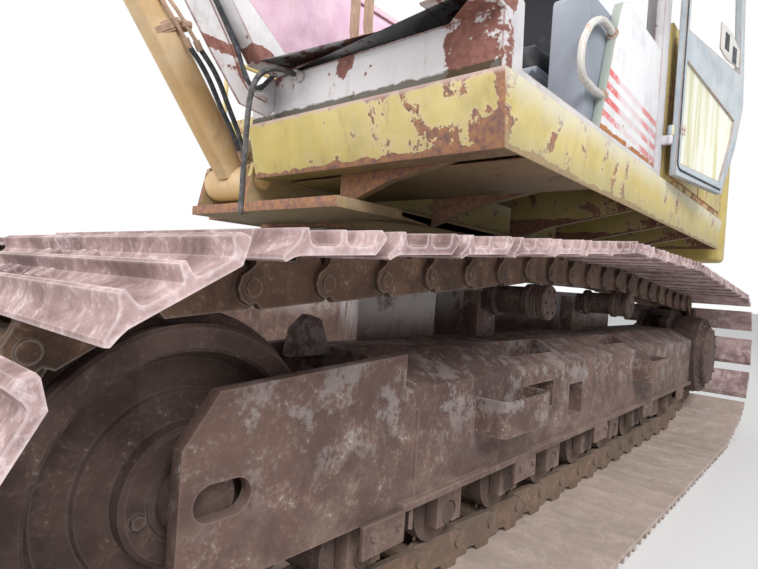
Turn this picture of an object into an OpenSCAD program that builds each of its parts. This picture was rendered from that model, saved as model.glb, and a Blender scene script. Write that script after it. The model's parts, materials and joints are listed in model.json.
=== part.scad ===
// Crawler excavator, parked with its boom lowered and its arm drawn in.
// +X is forward, +Y is to the left, +Z is up, millimetres, ground at z = 0.

/* [Tracks] */
// Distance of the idler's centre ahead of the swing axis
idler_x = 1900; // [1880:5:1910]
// Distance of the sprocket's centre behind the swing axis
drive_x = 2015; // [1900:5:2200]
// Distance between the middles of the two tracks
gauge = 2590; // [2390:10:2790]
// Width of a track shoe
shoe_w = 900; // [600:50:900]
// Number of shoes in one track
shoes = 50; // [48:1:54]
// Thickness of a shoe plate
shoe_t = 12; // [10:1:16]
// Height of a grouser above the shoe plate
grouser_h = 26; // [20:1:34]
// Radius of the path of the link pins round the idler
idler_pin_r = 365; // [350:1:375]
// Rise of the idler's pin circle above the lower run
idler_lift = 30; // [0:1:40]
// Radius of the path of the link pins round the sprocket
drive_pin_r = 345; // [330:1:360]
// Rise of the sprocket's pin circle above the lower run
drive_lift = 85; // [40:1:100]
// Height of the link pins over the carrier rollers
carrier_line = 990; // [960:1:1000]
// From the link pins out to the underside of the shoes
link_out = 72; // [60:1:80]
// From the link pins in to the rail that the rollers run on
link_in = 45; // [35:1:55]
// Thickness of one link rail
rail_t = 42; // [34:1:50]
// Width over the two link rails of a chain
chain_w = 196; // [170:2:220]
// Radius of a lower roller's tread
roller_r = 100; // [85:1:115]
// Radius of a carrier roller's tread
carrier_r = 66; // [60:1:80]
// Number of lower rollers on one side
rollers = 9; // [7:1:9]
// Length of the row of lower rollers
roller_span = 2900; // [2800:20:2920]
// Radius of the final drive drum
drive_r = 268; // [250:2:276]
// Radius of the final drive cover
cover_r = 200; // [180:5:225]

/* [Track frames] */
// Width of a track frame box
frame_w = 372; // [320:2:380]
// Height of the frame's lower flange above the ground
frame_z = 359; // [340:1:420]
// Height of the frame's side wall
frame_h = 292; // [260:2:350]
// Rise of the sloping top from the side wall inwards
frame_rise = 70; // [40:5:100]
// Thickness of the yoke plates beside the idler
yoke_t = 30; // [20:2:40]
// Distance of the yoke's front edge from the swing axis
yoke_x1 = 1966; // [1940:2:1980]
// Reach of a foot step beyond the side wall
step_reach = 99; // [60:1:110]

/* [Centre frame and swing ring] */
// Length of the centre box
centre_l = 1500; // [1300:20:1700]
// Width of the centre box
centre_w = 1180; // [1000:20:1300]
// Underside of the centre box above the ground
centre_z = 520; // [450:10:600]
// Top of the centre box above the ground
centre_top = 1090; // [1000:10:1150]
// Outer radius of the swing ring
ring_r = 640; // [560:10:720]
// Height of the swing ring
ring_h = 120; // [90:5:140]

// Running gap between the two races of the swing ring
race_gap = 0.4; // [0.3:0.1:1]

/* [Deck] */
// Distance of a deck's inner edge from the middle plane
deck_in = 244; // [244:2:300]
// Height of the lower edge of the deck skirts
deck_z = 1332; // [1250:2:1400]
// Height of a deck skirt
deck_h = 224; // [180:2:260]
// Lean of the deck's front skirt, its lower edge behind
front_lean = 59; // [0:1:80]
// Lean of the deck's side skirt, its lower edge inwards
side_lean = 17; // [0:1:40]
// Distance of a deck skirt's face from the middle plane
deck_y = 1498; // [1350:1:1500]
// Distance of the deck's front edge from the swing axis
deck_front = 1048; // [900:2:1200]
// Distance of the right deck's front edge from the swing axis
deck_front_right = 190; // [150:2:300]
// Radius that the counterweight sweeps
tail_r = 3050; // [2800:10:3200]
// Length of the counterweight along its middle
weight_l = 560; // [480:10:640]
// Height of the machinery house above the deck
house_h = 860; // [760:10:960]

/* [Cab] */
// Length of the cab
cab_l = 1750; // [1600:10:1850]
// Width of the cab
cab_w = 1070; // [1000:10:1070]
// Height of the cab
cab_h = 1500; // [1450:10:1650]
// Forward reach of the cab's chin above its sill
chin_x = 380; // [300:10:420]
// Height of the chin's foremost edge above the cab floor
chin_z = 470; // [420:10:560]
// Height of the cab's front sill
sill_h = 180; // [150:5:200]
// Thickness of the cab's walls and pillars
cab_t = 45; // [35:1:60]
// Width of the cab door
door_w = 960; // [800:10:1000]
// Angle by which the open door stands away from the deck's side
door_gape = 9; // [5:1:40]
// Outer diameter of the loose hose
hose_d = 22; // [16:1:30]

/* [Boom] */
// Boom length from foot pin to arm pin
boom_l = 6000; // [5600:50:6300]
// Width of the boom
boom_w = 380; // [360:10:380]
// Width of the boom's foot between the frame's webs
boom_foot_w = 330; // [320:2:340]
// Thickness of the frame's webs
web_t = 32; // [26:2:36]
// Distance of the boom foot pin from the swing axis
boom_x = 150; // [0:10:300]
// Height of the boom foot pin
boom_z = 1950; // [1800:10:2050]
// Distance of the boom cylinder's foot pin from the swing axis
foot_x = 920; // [900:10:950]
// Height of the boom cylinder's foot pin
foot_z = 1340; // [1330:5:1360]
// Rise of the boom's foot to tip line above level as it is parked
boom_up = 15.3; // [5:0.1:20]
// Distance of the boom cylinder's upper pin along the boom
lug_u = 2186; // [2150:2:2220]
// Distance of the boom cylinder's upper pin above the foot to tip line
lug_v = 452; // [440:2:480]
// Diameter of the main pins
pin_d = 90; // [80:2:110]
// Radial clearance of a pin in its bore
pin_gap = 0.5; // [0.3:0.1:1]
// Gap between pieces that turn against each other
side_gap = 6; // [5:1:10]
// Outer diameter of the boom and arm cylinders
barrel_d = 155; // [145:5:160]
// Diameter of the boom and arm cylinders' rods
rod_d = 95; // [85:5:110]
// Outer diameter of the bucket cylinder
small_barrel_d = 130; // [120:5:160]
// Diameter of the bucket cylinder's rod
small_rod_d = 85; // [75:5:95]

/* [Arm and bucket] */
// Arm length from boom pin to bucket pin
arm_l = 2900; // [2500:50:3200]
// Width of the arm
arm_w = 300; // [290:10:310]
// Distance of the arm cylinder's lug behind the boom pin
heel_u = 780; // [700:10:860]
// Distance of the arm cylinder's lug above the arm's pin line
heel_v = 330; // [280:10:400]
// Width of the bucket
bucket_w = 1300; // [1000:50:1400]
// Turn of the bucket from hanging, as it is parked
bucket_turn = 21; // [10:1:40]
// Length of the rocker from the arm to the link joint
rocker_l = 590; // [560:5:620]
// Length of the link from the joint to the bucket
link_l = 560; // [530:5:590]
// Distance of the rocker's pin from the bucket pin along the arm
rocker_back = 440; // [420:5:480]

/* [Hidden] */
$fn = 48;
thin = 0.3;
ground_z = link_out + shoe_t + grouser_h;
drive_z = ground_z + drive_lift + drive_pin_r;
idler_z = ground_z + idler_lift + idler_pin_r;
rail_z = carrier_line - link_in - 5;
track_y = gauge / 2;
ring_z = centre_top;
plate_z = ring_z + ring_h;
deck_top = deck_z + deck_h;
cab_x0 = deck_front - 20 - cab_l;
cab_x1 = deck_front - 20;
cab_y1 = deck_y - 25;
cab_y0 = cab_y1 - cab_w;
cab_z = deck_top + thin;
house_x0 = -2500;
house_z = deck_top + house_h;

// Points of the bucket's shell about its hinge pin, as it hangs
bucket_out = [
  [-200, -260], [-60, -175], [420, -150], [620, -190], [730, -330], [775, -560],
  [740, -800], [600, -1040], [380, -1210], [100, -1310], [-250, -1390]
];
bucket_in = [
  [-170, -285], [-48, -210], [415, -186], [602, -221], [697, -342], [738, -560],
  [706, -788], [575, -1013], [362, -1176], [88, -1275], [-240, -1350]
];
tooth_tip = [-450, -1440];

function turned(p, a) = [p[0] * cos(a) - p[1] * sin(a), p[0] * sin(a) + p[1] * cos(a)];
function lowest(pts, a) = min([for (p = pts) turned(p, a)[1]]);
// Where circles of radius ra about a and rb about b meet, to the left of a to b
function meet(a, b, ra, rb) =
  let (d = norm(b - a), e = (d * d + ra * ra - rb * rb) / (2 * d),
       h = sqrt(max(0, ra * ra - e * e)), n = (b - a) / d)
  [a[0] + e * n[0] - h * n[1], a[1] + e * n[1] + h * n[0]];
function aim(a, b) = atan2(b[1] - a[1], b[0] - a[0]);

hinge_z = -lowest(concat(bucket_out, [tooth_tip]), -bucket_turn);
boom_foot = [boom_x, boom_z];
boom_tip = boom_foot + turned([boom_l, 0], boom_up);
arm_aim = -180 + asin((boom_tip[1] - hinge_z) / arm_l);
hinge = boom_tip + turned([arm_l, 0], arm_aim);
heel = boom_tip + turned([-heel_u, heel_v], arm_aim);
lift_foot = [foot_x, foot_z];
lift_lug = boom_foot + turned([lug_u, lug_v], boom_up);
crowd_foot_u = 3060;
crowd_foot_v = 1230;
crowd_foot = boom_foot + turned([crowd_foot_u, crowd_foot_v], boom_up);
bcyl_u = 80;
bcyl_v = 610;
bcyl_foot = boom_tip + turned([bcyl_u, bcyl_v], arm_aim);
rocker_pin = boom_tip + turned([arm_l - rocker_back, 0], arm_aim);
bucket_pin = hinge + turned([430, 60], -bucket_turn);
joint_pin = meet(rocker_pin, bucket_pin, rocker_l, link_l);

arm_back = boom_tip + turned([-heel_u - 60, heel_v + 80], arm_aim);
x_front = arm_back[0];
x_rear = -tail_r;
shift_x = -(x_front + x_rear) / 2;

// A plate or block: an outline in X and Z between two distances in Y
module side(y0, y1) {
  translate([0, y1, 0]) rotate([90, 0, 0]) linear_extrude(y1 - y0) children();
}
module bar(y0, y1, x, z, d) {
  translate([x, y1, z]) rotate([90, 0, 0]) cylinder(d = d, h = y1 - y0);
}
module block(x0, x1, y0, y1, z0, z1) {
  translate([x0, y0, z0]) cube([x1 - x0, y1 - y0, z1 - z0]);
}
module machine() {
  translate([shift_x, 0, 0]) children();
}
module left_and_right(sy) {
  if (sy > 0) children();
  else mirror([0, 1, 0]) children();
}
// Moves an outline from a limb's own pin line to where the limb stands
module limb(pin, a) {
  translate([pin[0], 0, pin[1]]) rotate([0, -a, 0]) children();
}

// Track
// Positions of the carrier rollers
carrier_xs = [-470, 500];
// Points that the link pins go round, with the radius there
stops = [[-drive_x, drive_z, drive_pin_r], [carrier_xs[0], carrier_line, 0], [carrier_xs[1], carrier_line, 0],
  [idler_x, idler_z, idler_pin_r], [idler_x - 300, ground_z, 0], [-drive_x + 405, ground_z, 0]];
function stop(i) = stops[(i + len(stops)) % len(stops)];
function centre(i) = [stop(i)[0], stop(i)[1]];
function gap_to(i) = norm(centre(i + 1) - centre(i));
function drop_to(i) = stop(i)[2] - stop(i + 1)[2];
function heading(i) = aim(centre(i), centre(i + 1)) - asin(drop_to(i) / gap_to(i));
function run(i) = sqrt(pow(gap_to(i), 2) - pow(drop_to(i), 2));
function bend(i) = (heading(i) - heading(i + 1) + 720) % 360;
function leg(i) = run(i) + stop(i + 1)[2] * bend(i) * PI / 180;
function way(i) = i == 0 ? 0 : way(i - 1) + leg(i - 1);
loop_len = way(len(stops));
shoe_p = loop_len / shoes;
// Position and direction on the pin path, s measured from the top of the sprocket
function path_from(i, s) =
  s > leg(i) && i < len(stops) - 1 ? path_from(i + 1, s - leg(i))
  : s < run(i) ? [centre(i) + turned([s, stop(i)[2]], heading(i)), heading(i)]
  : let (a = heading(i) - (s - run(i)) / max(stop(i + 1)[2], 0.001) * 180 / PI)
    [centre(i + 1) + turned([0, stop(i + 1)[2]], a), a];
function path(s) = path_from(0, s % loop_len);
function on_path(s, u, h) =
  let (p = path(s)) p[0] + turned([u, h], p[1]);
grouser_u = 0.34 * shoe_p;
shoe_pts = [
  [-0.47 * shoe_p, 0], [-grouser_u - 14, 0], [-grouser_u, grouser_h], [-grouser_u + 14, 0],
  [-8, 0], [0, grouser_h * 0.9], [8, 0], [grouser_u - 14, 0], [grouser_u, grouser_h * 0.9],
  [grouser_u + 14, 0], [0.47 * shoe_p, 0]
];
module shoe_belt() {
  difference() {
    polygon([for (i = [0:shoes - 1]) for (p = shoe_pts)
      on_path((i + 0.5) * shoe_p, p[0], link_out + shoe_t + p[1])]);
    polygon([for (i = [0:shoes - 1]) on_path((i + 0.5) * shoe_p, 0, link_out)]);
  }
}
module rail_loop() {
  difference() {
    polygon([for (i = [0:shoes - 1]) on_path((i + 0.5) * shoe_p, 0, link_out)]);
    polygon([for (i = [0:shoes - 1]) on_path((i + 0.5) * shoe_p, 0, -link_in)]);
  }
}
module track(sy) {
  machine() left_and_right(sy)
    side(track_y - shoe_w / 2, track_y + shoe_w / 2) shoe_belt();
}
module chain(sy) {
  machine() left_and_right(sy) {
    side(track_y - chain_w / 2, track_y - chain_w / 2 + rail_t) rail_loop();
    side(track_y + chain_w / 2 - rail_t, track_y + chain_w / 2) rail_loop();
  }
}
tread_r = (idler_pin_r - link_in) * cos(shoe_p / idler_pin_r * 90 / PI) - thin;
// Idler wheel: a rim under the rails, a guide flange between them, and a hub
module idler(sy) {
  machine() left_and_right(sy) {
    bar(track_y - 95, track_y + 95, idler_x, idler_z, 2 * tread_r);
    bar(track_y - 48, track_y + 48, idler_x, idler_z, 2 * tread_r + 50);
    bar(track_y - 112, track_y + 112, idler_x, idler_z, 260);
    axle = frame_w / 2 - yoke_t - thin;
    bar(track_y - axle, track_y + axle, idler_x, idler_z, 130);
  }
}
teeth = 21;
module final_drive(sy) {
  machine() left_and_right(sy) {
    difference() {
      bar(track_y - 32, track_y + 32, -drive_x, drive_z, 2 * (drive_pin_r + 12));
      for (i = [0:teeth - 1])
        translate([-drive_x, track_y, drive_z])
          rotate([0, i * 360 / teeth, 0]) translate([drive_pin_r, 0, 0])
            rotate([90, 0, 0]) cylinder(d = 62, h = 80, center = true, $fn = 16);
    }
    bar(track_y - frame_w / 2 + 34 + thin, track_y + 215, -drive_x, drive_z, 2 * drive_r);
    bar(track_y + 215, track_y + 265, -drive_x, drive_z, 2 * cover_r);
  }
}
roller_z = ground_z + link_in + roller_r;
module rollers_of(sy) {
  machine() left_and_right(sy) {
    for (i = [0:rollers - 1]) {
      x = -roller_span / 2 + i * roller_span / (rollers - 1);
      bar(track_y - 100, track_y + 100, x, roller_z + thin, 2 * roller_r);
      bar(track_y - 140, track_y + 140, x, roller_z + thin, 70);
    }
    for (x = carrier_xs) {
      z = rail_z - carrier_r - thin;
      bar(track_y - 85, track_y + 150, x, z, 2 * carrier_r);
      bar(track_y - frame_w / 2 + 70 + thin, track_y, x, z, 90);
    }
  }
}

// Track frame
frame_x0 = -drive_x + 288;
frame_x1 = 1390;
frame_top = frame_z + frame_h;
yoke_top = frame_z + 380;
// Foot steps on the side wall: rear end, front end, lower edge, upper edge
foot_steps = [[750, 1055, 494, 597], [-740, -450, 503, 610]];
// Openings in the side wall, with the same columns
wall_holes = [[510, 720, 500, 595], [219, 356, 437, 563]];
// Slots in the sloping top: rear end, front end, inner edge, outer edge
top_slots = [[390, 730, 1330, 1420], [-480, -170, 1360, 1420]];
module track_frame(sy) {
  y0 = track_y - frame_w / 2;
  y1 = track_y + frame_w / 2;
  machine() left_and_right(sy) {
    // Main box with its sloping top
    difference() {
      translate([frame_x0, 0, 0]) rotate([90, 0, 90]) linear_extrude(frame_x1 - frame_x0)
        polygon([[y0, frame_z], [y1 + 18, frame_z], [y1 + 18, frame_z + 18], [y1, frame_z + 18],
          [y1, frame_top], [y1 - 130, frame_top + frame_rise], [y0, frame_top + frame_rise]]);
      // Notch that the sprocket turns in
      bar(track_y - 50, track_y + 50, -drive_x, drive_z, 2 * (drive_pin_r + 24));
      for (h = wall_holes) block(h[0], h[1], y1 - 60, y1 + 1, h[2], h[3]);
      for (h = top_slots) block(h[0], h[1], h[2] - 1295 + track_y, h[3] - 1295 + track_y, frame_top - 60, frame_top + 100);
    }
    // Yoke plates that hold the idler, the outer one with a slot over its axle
    for (y = [y0, y1 - yoke_t])
      side(y, y + yoke_t) difference() {
        polygon([[frame_x1 - 1, frame_z], [yoke_x1, frame_z], [yoke_x1, yoke_top - 125],
          [yoke_x1 - 66, yoke_top - 33], [frame_x1 - 1, yoke_top]]);
        if (y > y0) {
          for (x = [yoke_x1 - 108, yoke_x1 - 59]) translate([x, frame_z + 156]) circle(r = 33);
          translate([yoke_x1 - 108, frame_z + 123]) square([49, 66]);
        }
      }
    // Mount of the final drive
    side(y0, y0 + 34) difference() {
      union() {
        translate([-drive_x, drive_z]) circle(r = drive_r + 28);
        polygon([[-drive_x, drive_z - 168], [frame_x0 + 1, frame_z], [frame_x0 + 1, frame_top + frame_rise],
          [-drive_x, drive_z + 250]]);
      }
      translate([-drive_x, drive_z]) circle(r = drive_r - 60);
    }
    // Foot steps welded to the side wall
    for (h = foot_steps) difference() {
      block(h[0], h[1], y1 - 1, y1 + step_reach, h[2], h[3]);
      block(h[0] + 9, h[1] - 9, y1 - 2, y1 + step_reach - 9, h[2] - 1, h[3] + 1);
    }
    // Roller pedestals under the frame
    for (i = [0:rollers - 1]) {
      x = -roller_span / 2 + i * roller_span / (rollers - 1);
      for (y = [track_y - 142, track_y + 104]) difference() {
        block(x - 60, x + 60, y, y + 38, roller_z - 30, frame_z + 1);
        bar(y - 1, y + 39, x, roller_z + thin, 72);
      }
    }
    // Brackets of the carrier rollers
    for (x = carrier_xs)
      block(x - 70, x + 70, y0, y0 + 70, frame_top, rail_z - 40);
  }
}
// Hole of a lashing eye
eye_d = 50;
eye_x = 840;
eye_y = 795;
module centre_frame() {
  y0 = track_y - frame_w / 2;
  leg_z = centre_top - 170;
  machine() {
    difference() {
      block(-centre_l / 2, centre_l / 2, -centre_w / 2, centre_w / 2, centre_z, centre_top - 60);
      translate([0, 0, centre_z - 1]) cylinder(r = 260, h = 300);
    }
    translate([0, 0, centre_top - 60]) cylinder(r = ring_r + 30, h = 60, $fn = 72);
    for (sx = [0, 1]) for (sy = [0, 1])
      mirror([sx, 0, 0]) mirror([0, sy, 0]) {
          // Leg from the centre box out to the track frame
          difference() {
            linear_extrude(leg_z) polygon([[350, centre_w / 2 - 1], [centre_l / 2, centre_w / 2 - 1],
              [1180, y0 - thin], [760, y0 - thin]]);
            translate([0, 0, -1]) cube([3000, 3000, frame_z + 51]);
          }
          // Lashing eye on the leg
          translate([eye_x - 15, 0, 0]) rotate([90, 0, 90]) linear_extrude(30) difference() {
            polygon([[eye_y - 45, leg_z - 1], [eye_y + 35, leg_z - 1], [eye_y + 35, leg_z + 75],
              [eye_y + 15, leg_z + 105], [eye_y - 20, leg_z + 105], [eye_y - 45, leg_z + 75]]);
            translate([eye_y, leg_z + 60]) circle(d = eye_d);
          }
        }
  }
}
race_r = ring_r - 120;
module swing_ring_lower() {
  machine() translate([0, 0, ring_z + thin]) difference() {
    cylinder(r = ring_r, h = ring_h * 0.55, $fn = 72);
    translate([0, 0, -1]) cylinder(r = race_r, h = ring_h, $fn = 72);
  }
}

// Upper frame: ring flange, base plate, boom brackets and cylinder brackets
web_y = boom_foot_w / 2 + side_gap;
module revolving_frame() {
  machine() {
    translate([0, 0, ring_z + ring_h * 0.55 + 6]) difference() {
      cylinder(r = ring_r - 20, h = ring_h * 0.45 - 6, $fn = 72);
      translate([0, 0, -1]) cylinder(r = race_r - 60, h = ring_h, $fn = 72);
    }
    // Inner race of the swing bearing
    translate([0, 0, ring_z + 12]) difference() {
      cylinder(r = race_r - race_gap, h = ring_h - 11, $fn = 72);
      translate([0, 0, -1]) cylinder(r = race_r - 60, h = ring_h, $fn = 72);
    }
    block(-tail_r + weight_l + thin, 680, -640, 640, plate_z, plate_z + 45);
    // Nose plate, which reaches farther under the cab than to the right
    block(648, foot_x + 115, -web_y - web_t, 826, plate_z - 32, plate_z + 10);
    for (sy = [-1, 1]) {
      ya = sy > 0 ? web_y : -web_y - web_t;
      side(ya, ya + web_t) difference() {
        polygon([[-tail_r + weight_l + 20, plate_z + 40], [660, plate_z + 40], [660, plate_z],
          [foot_x + 84, plate_z], [foot_x + 90, foot_z - 112], [foot_x + 50, foot_z + 75],
          [foot_x - 6, foot_z + 112], [boom_x + 190, boom_z + 60], [boom_x + 60, boom_z + 150],
          [boom_x - 130, boom_z + 110], [boom_x - 700, deck_top], [-tail_r + weight_l + 20, deck_top - 20]]);
        translate([boom_x, boom_z]) circle(r = pin_d / 2 + pin_gap);
        translate([foot_x, foot_z]) circle(r = pin_d / 2 + pin_gap);
      }
    }
    // Foot pin of the boom
    bar(-web_y - web_t - 8, web_y + web_t + 8, boom_x, boom_z, pin_d);
    // Outriggers that carry the decks
    for (p = outriggers) left_and_right(p[1])
      translate([p[0], 0, 0]) rotate([90, 0, 90]) linear_extrude(40)
        polygon([[639, plate_z], [900, deck_z - 30], [deck_y - 60, deck_z + 70], [deck_y - 60, deck_top - 8 - thin],
          [639, deck_top - 8 - thin]]);
  }
}
// Outriggers under the decks: rear face, side
outriggers = [[-2100, -1], [-1400, -1], [-700, -1], [140, -1],
  [-2100, 1], [-1400, 1], [-700, 1], [140, 1], [800, 1]];
deck_x0 = -tail_r + weight_l + 60;
// Outline of a deck, drawn in by g, its skirts leaning
module deck_form(g, z0, front, lean) {
  intersection() {
    side(deck_in + g, deck_y) polygon([[deck_x0 + g, z0], [front - lean - g, z0],
      [front - g, deck_top - g], [deck_x0 + g, deck_top - g]]);
    translate([deck_x0 - 1, 0, 0]) rotate([90, 0, 90]) linear_extrude(front - deck_x0 + 2)
      polygon([[deck_in, z0], [deck_y - side_lean - g, z0], [deck_y - g, deck_top], [deck_in, deck_top]]);
  }
}
// A deck: top plate with skirts along its side, front and inner edge, and a floor under its front
module deck(sy) {
  front = sy > 0 ? deck_front : deck_front_right;
  lean = sy > 0 ? front_lean : 0;
  machine() left_and_right(sy) {
    difference() {
      deck_form(0, deck_z, front, lean);
      deck_form(8, deck_z - 1, front, lean);
    }
    // Floor on both sides of the front outrigger
    if (sy > 0) for (x = [[210, 794], [846, front - lean]])
      block(x[0], x[1], deck_in + 4, deck_y - side_lean - 4, deck_z + 12, deck_z + 20);
  }
}
// Counterweight: a slice of a drum with a flat front
module counterweight() {
  machine() difference() {
    translate([0, 0, plate_z + 30]) intersection() {
      cylinder(r = tail_r, h = 1060, $fn = 96);
      translate([-tail_r - 10, -deck_y, 0]) cube([weight_l + 430, 2 * deck_y, 1060]);
    }
    block(-tail_r + weight_l, 0, -deck_y - 1, deck_y + 1, 0, 3000);
  }
}
module machinery_house() {
  t = 4;
  machine() difference() {
    block(deck_x0 + 10, cab_x0 - 40 - thin, -deck_y + 20, deck_y - 20, deck_top + thin, house_z);
    block(deck_x0 + 14, cab_x0 - 44 - thin, -deck_y + 24, deck_y - 24, deck_top, house_z - t);
    block(deck_x0 + 110, cab_x0 - 500, -620, 620, house_z - 10, house_z + 10);
  }
}
hood_x0 = deck_x0 + 100;
hood_x1 = cab_x0 - 490;
module engine_hood() {
  machine() difference() {
    block(hood_x0, hood_x1, -630, 630, house_z + thin, house_z + 170);
    block(hood_x0 + 5, hood_x1 - 5, -625, 625, house_z, house_z + 165);
  }
  // Hinge knuckles along its rear edge
  machine() for (y = [-540, 400]) bar(y, y + 140, hood_x0 - 8, house_z + 10, 18);
}
module engine_block() {
  machine() block(deck_x0 + 250, deck_x0 + 950, -600, 700, deck_top + thin, house_z - 150);
}
// Tanks and tool box along the right side, ahead of the machinery house
tank_in = 480;
module tank_house() {
  machine() {
    block(cab_x0 - 40, -520, -deck_y + 30, -tank_in, deck_top + thin, house_z + 60);
    block(-520 + thin, deck_front_right - 40, -deck_y + 30, -tank_in, deck_top + thin, deck_top + 480);
  }
}
module exhaust() {
  machine() {
    translate([deck_x0 + 560, -860, house_z + thin]) difference() {
      cylinder(d = 130, h = 420);
      translate([0, 0, 5]) cylinder(d = 118, h = 500);
    }
  }
}

// Cab
door_x = cab_x0 + 20;
door_y = cab_y1 + 40;
knuckles = [cab_z + 180, cab_z + 1240];
apron_y = web_y + web_t + 45;
hose_y = 560;
port_d = 44;
module cab_shell() {
  t = cab_t;
  zt = cab_z + cab_h;
  xk = cab_x1 + chin_x;
  zk = cab_z + chin_z;
  machine() difference() {
    union() {
      side(cab_y0, cab_y1) polygon([[cab_x0, cab_z], [cab_x1, cab_z], [cab_x1, cab_z + sill_h],
        [cab_x1 + chin_x * 0.38, cab_z + sill_h], [xk, zk], [xk - 60, zt - 180], [xk - 150, zt], [cab_x0, zt]]);
      // Low apron between the cab and the boom
      block(cab_x1 - 300, cab_x1, apron_y, cab_y0 + 1, cab_z, cab_z + sill_h);
      // Port that the loose hose comes out of
      translate([cab_x1 - 1, hose_y, cab_z + sill_h - 24]) rotate([0, 90, 0]) cylinder(d = port_d, h = 31);
    }
    side(cab_y0 + t, cab_y1 - t) polygon([[cab_x0 + t, cab_z + 30], [cab_x1 - t, cab_z + 30],
      [cab_x1 - t, cab_z + sill_h + 20], [xk - t - 14, zk], [xk - 60 - t, zt - 190], [xk - 150 - t, zt - t],
      [cab_x0 + t, zt - t]]);
    // Front window opening
    side(cab_y0 + 90, cab_y1 - 90) polygon([[cab_x1 - 10, cab_z + sill_h + 30], [cab_x1 + 200, cab_z + sill_h - 1],
      [xk + 100, zk], [xk + 100, zt - 170], [cab_x1 - 10, zt - 170]]);
    // Door opening and the window behind it
    side(cab_y1 - t - 1, cab_y1 + 1) polygon([[cab_x1 - 130, cab_z + 40], [cab_x1 - 120, cab_z + sill_h + 60],
      [xk - 130, zk + 20], [xk - 200, zt - 130], [cab_x0 + 120, zt - 130], [cab_x0 + 120, cab_z + 40]]);
    // Right side window
    side(cab_y0 - 1, cab_y0 + t + 1) polygon([[xk - 160, zk + 110], [xk - 210, zt - 130],
      [cab_x0 + 140, zt - 130], [cab_x0 + 140, zk + 110]]);
    // Rear window
    block(cab_x0 - 1, cab_x0 + t + 1, cab_y0 + 110, cab_y1 - 110, cab_z + 640, zt - 140);
  }
  // Hinge knuckles of the door
  machine() for (z = knuckles) {
    block(door_x - 12, door_x + 12, cab_y1 - 1, door_y, z, z + 50);
    translate([door_x, door_y, z]) cylinder(d = 28, h = 50);
  }
}
panel_x1 = cab_x1 - 830;
panel_h = 655;
panel_x0 = cab_x0 + 120 + thin;
module cab_striped_panel() {
  machine() side(cab_y1 - cab_t, cab_y1 - 5)
    polygon([[panel_x0, cab_z + 40 + thin], [panel_x1, cab_z + 40 + thin], [panel_x1 - 150, cab_z + panel_h - 80],
      [panel_x1 - 180, cab_z + panel_h - 20], [panel_x1 - 230, cab_z + panel_h], [panel_x0, cab_z + panel_h]]);
}
// The door lies back along the machine, turned about its rear edge
module cab_door() {
  zt = cab_z + cab_h - 60;
  machine() translate([door_x, door_y, 0]) rotate([0, 0, -door_gape]) {
    difference() {
      side(0, 32) polygon([[-20, cab_z + 20], [-door_w * 0.72, cab_z + 20], [-door_w * 0.9, cab_z + 330],
        [-door_w, cab_z + 620], [-door_w * 0.9, zt - 120], [-door_w * 0.8, zt], [-20, zt]]);
      side(-1, 33) polygon([[-70, cab_z + 800], [-door_w * 0.9, cab_z + 800], [-door_w * 0.82, zt - 130],
        [-door_w * 0.75, zt - 70], [-70, zt - 70]]);
      side(20, 33) polygon([[-70, cab_z + 90], [-door_w * 0.68, cab_z + 90], [-door_w * 0.82, cab_z + 360],
        [-door_w * 0.86, cab_z + 500], [-70, cab_z + 640]]);
    }
    for (z = knuckles) {
      translate([0, 0, z + 50 + thin]) cylinder(d = 28, h = 50);
      block(-21, 0, 0, 12, z + 50 + thin, z + 100);
    }
  }
}
seat_x = -60;
seat_y = (cab_y0 + cab_y1) / 2;
module seat() {
  z = cab_z + 30 + thin;
  machine() {
    block(seat_x - 200, seat_x + 200, seat_y - 170, seat_y + 170, z, z + 330);
    side(seat_y - 250, seat_y + 250) polygon([[seat_x - 260, z + 329], [seat_x + 270, z + 329],
      [seat_x + 290, z + 440], [seat_x - 200, z + 440]]);
    side(seat_y - 240, seat_y + 240) polygon([[seat_x - 260, z + 439], [seat_x - 150, z + 439],
      [seat_x - 250, z + 1080], [seat_x - 350, z + 1080]]);
  }
}
module console() {
  z = cab_z + 30 + thin;
  machine() {
    for (y = [cab_y0 + cab_t + 2, cab_y1 - cab_t - 172])
      block(seat_x - 250, seat_x + 330, y, y + 170, z, z + 560);
  }
}
module levers() {
  z = cab_z + 30 + thin;
  machine() for (y = [seat_y - 110, seat_y + 110]) {
    translate([cab_x1 - 420, y, z]) cylinder(d = 20, h = 620);
    translate([cab_x1 - 420, y, z + 620]) sphere(d = 50);
    block(cab_x1 - 470, cab_x1 - 250, y - 45, y + 45, z, z + 24);
  }
}
handle_d = 28;
// Grab handle that stands out from the slanting edge of the striped panel
module grab_handle() {
  y = cab_y1 - cab_t / 2 - 5;
  machine() difference() {
    union() {
      translate([panel_x1 + 190, y, cab_z + 186]) cylinder(d = handle_d, h = 334);
      for (z = [cab_z + 200, cab_z + 506])
        translate([panel_x1 - 220, y, z]) rotate([0, 90, 0]) cylinder(d = handle_d, h = 424);
    }
    side(cab_y1 - cab_t - 5, cab_y1) polygon([[panel_x1 - 300, cab_z + 40], [panel_x1 + 0.4, cab_z + 40],
      [panel_x1 - 149.6, cab_z + panel_h - 80], [panel_x1 - 300, cab_z + panel_h - 80]]);
  }
}
module handrails() {
  machine() {
    for (x = [-500, 130]) translate([x, -deck_y + 60, deck_top + 480 + thin]) cylinder(d = 34, h = 520);
    translate([-517, -deck_y + 60, deck_top + 983]) rotate([0, 90, 0]) cylinder(d = 34, h = 664);
  }
}

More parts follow.
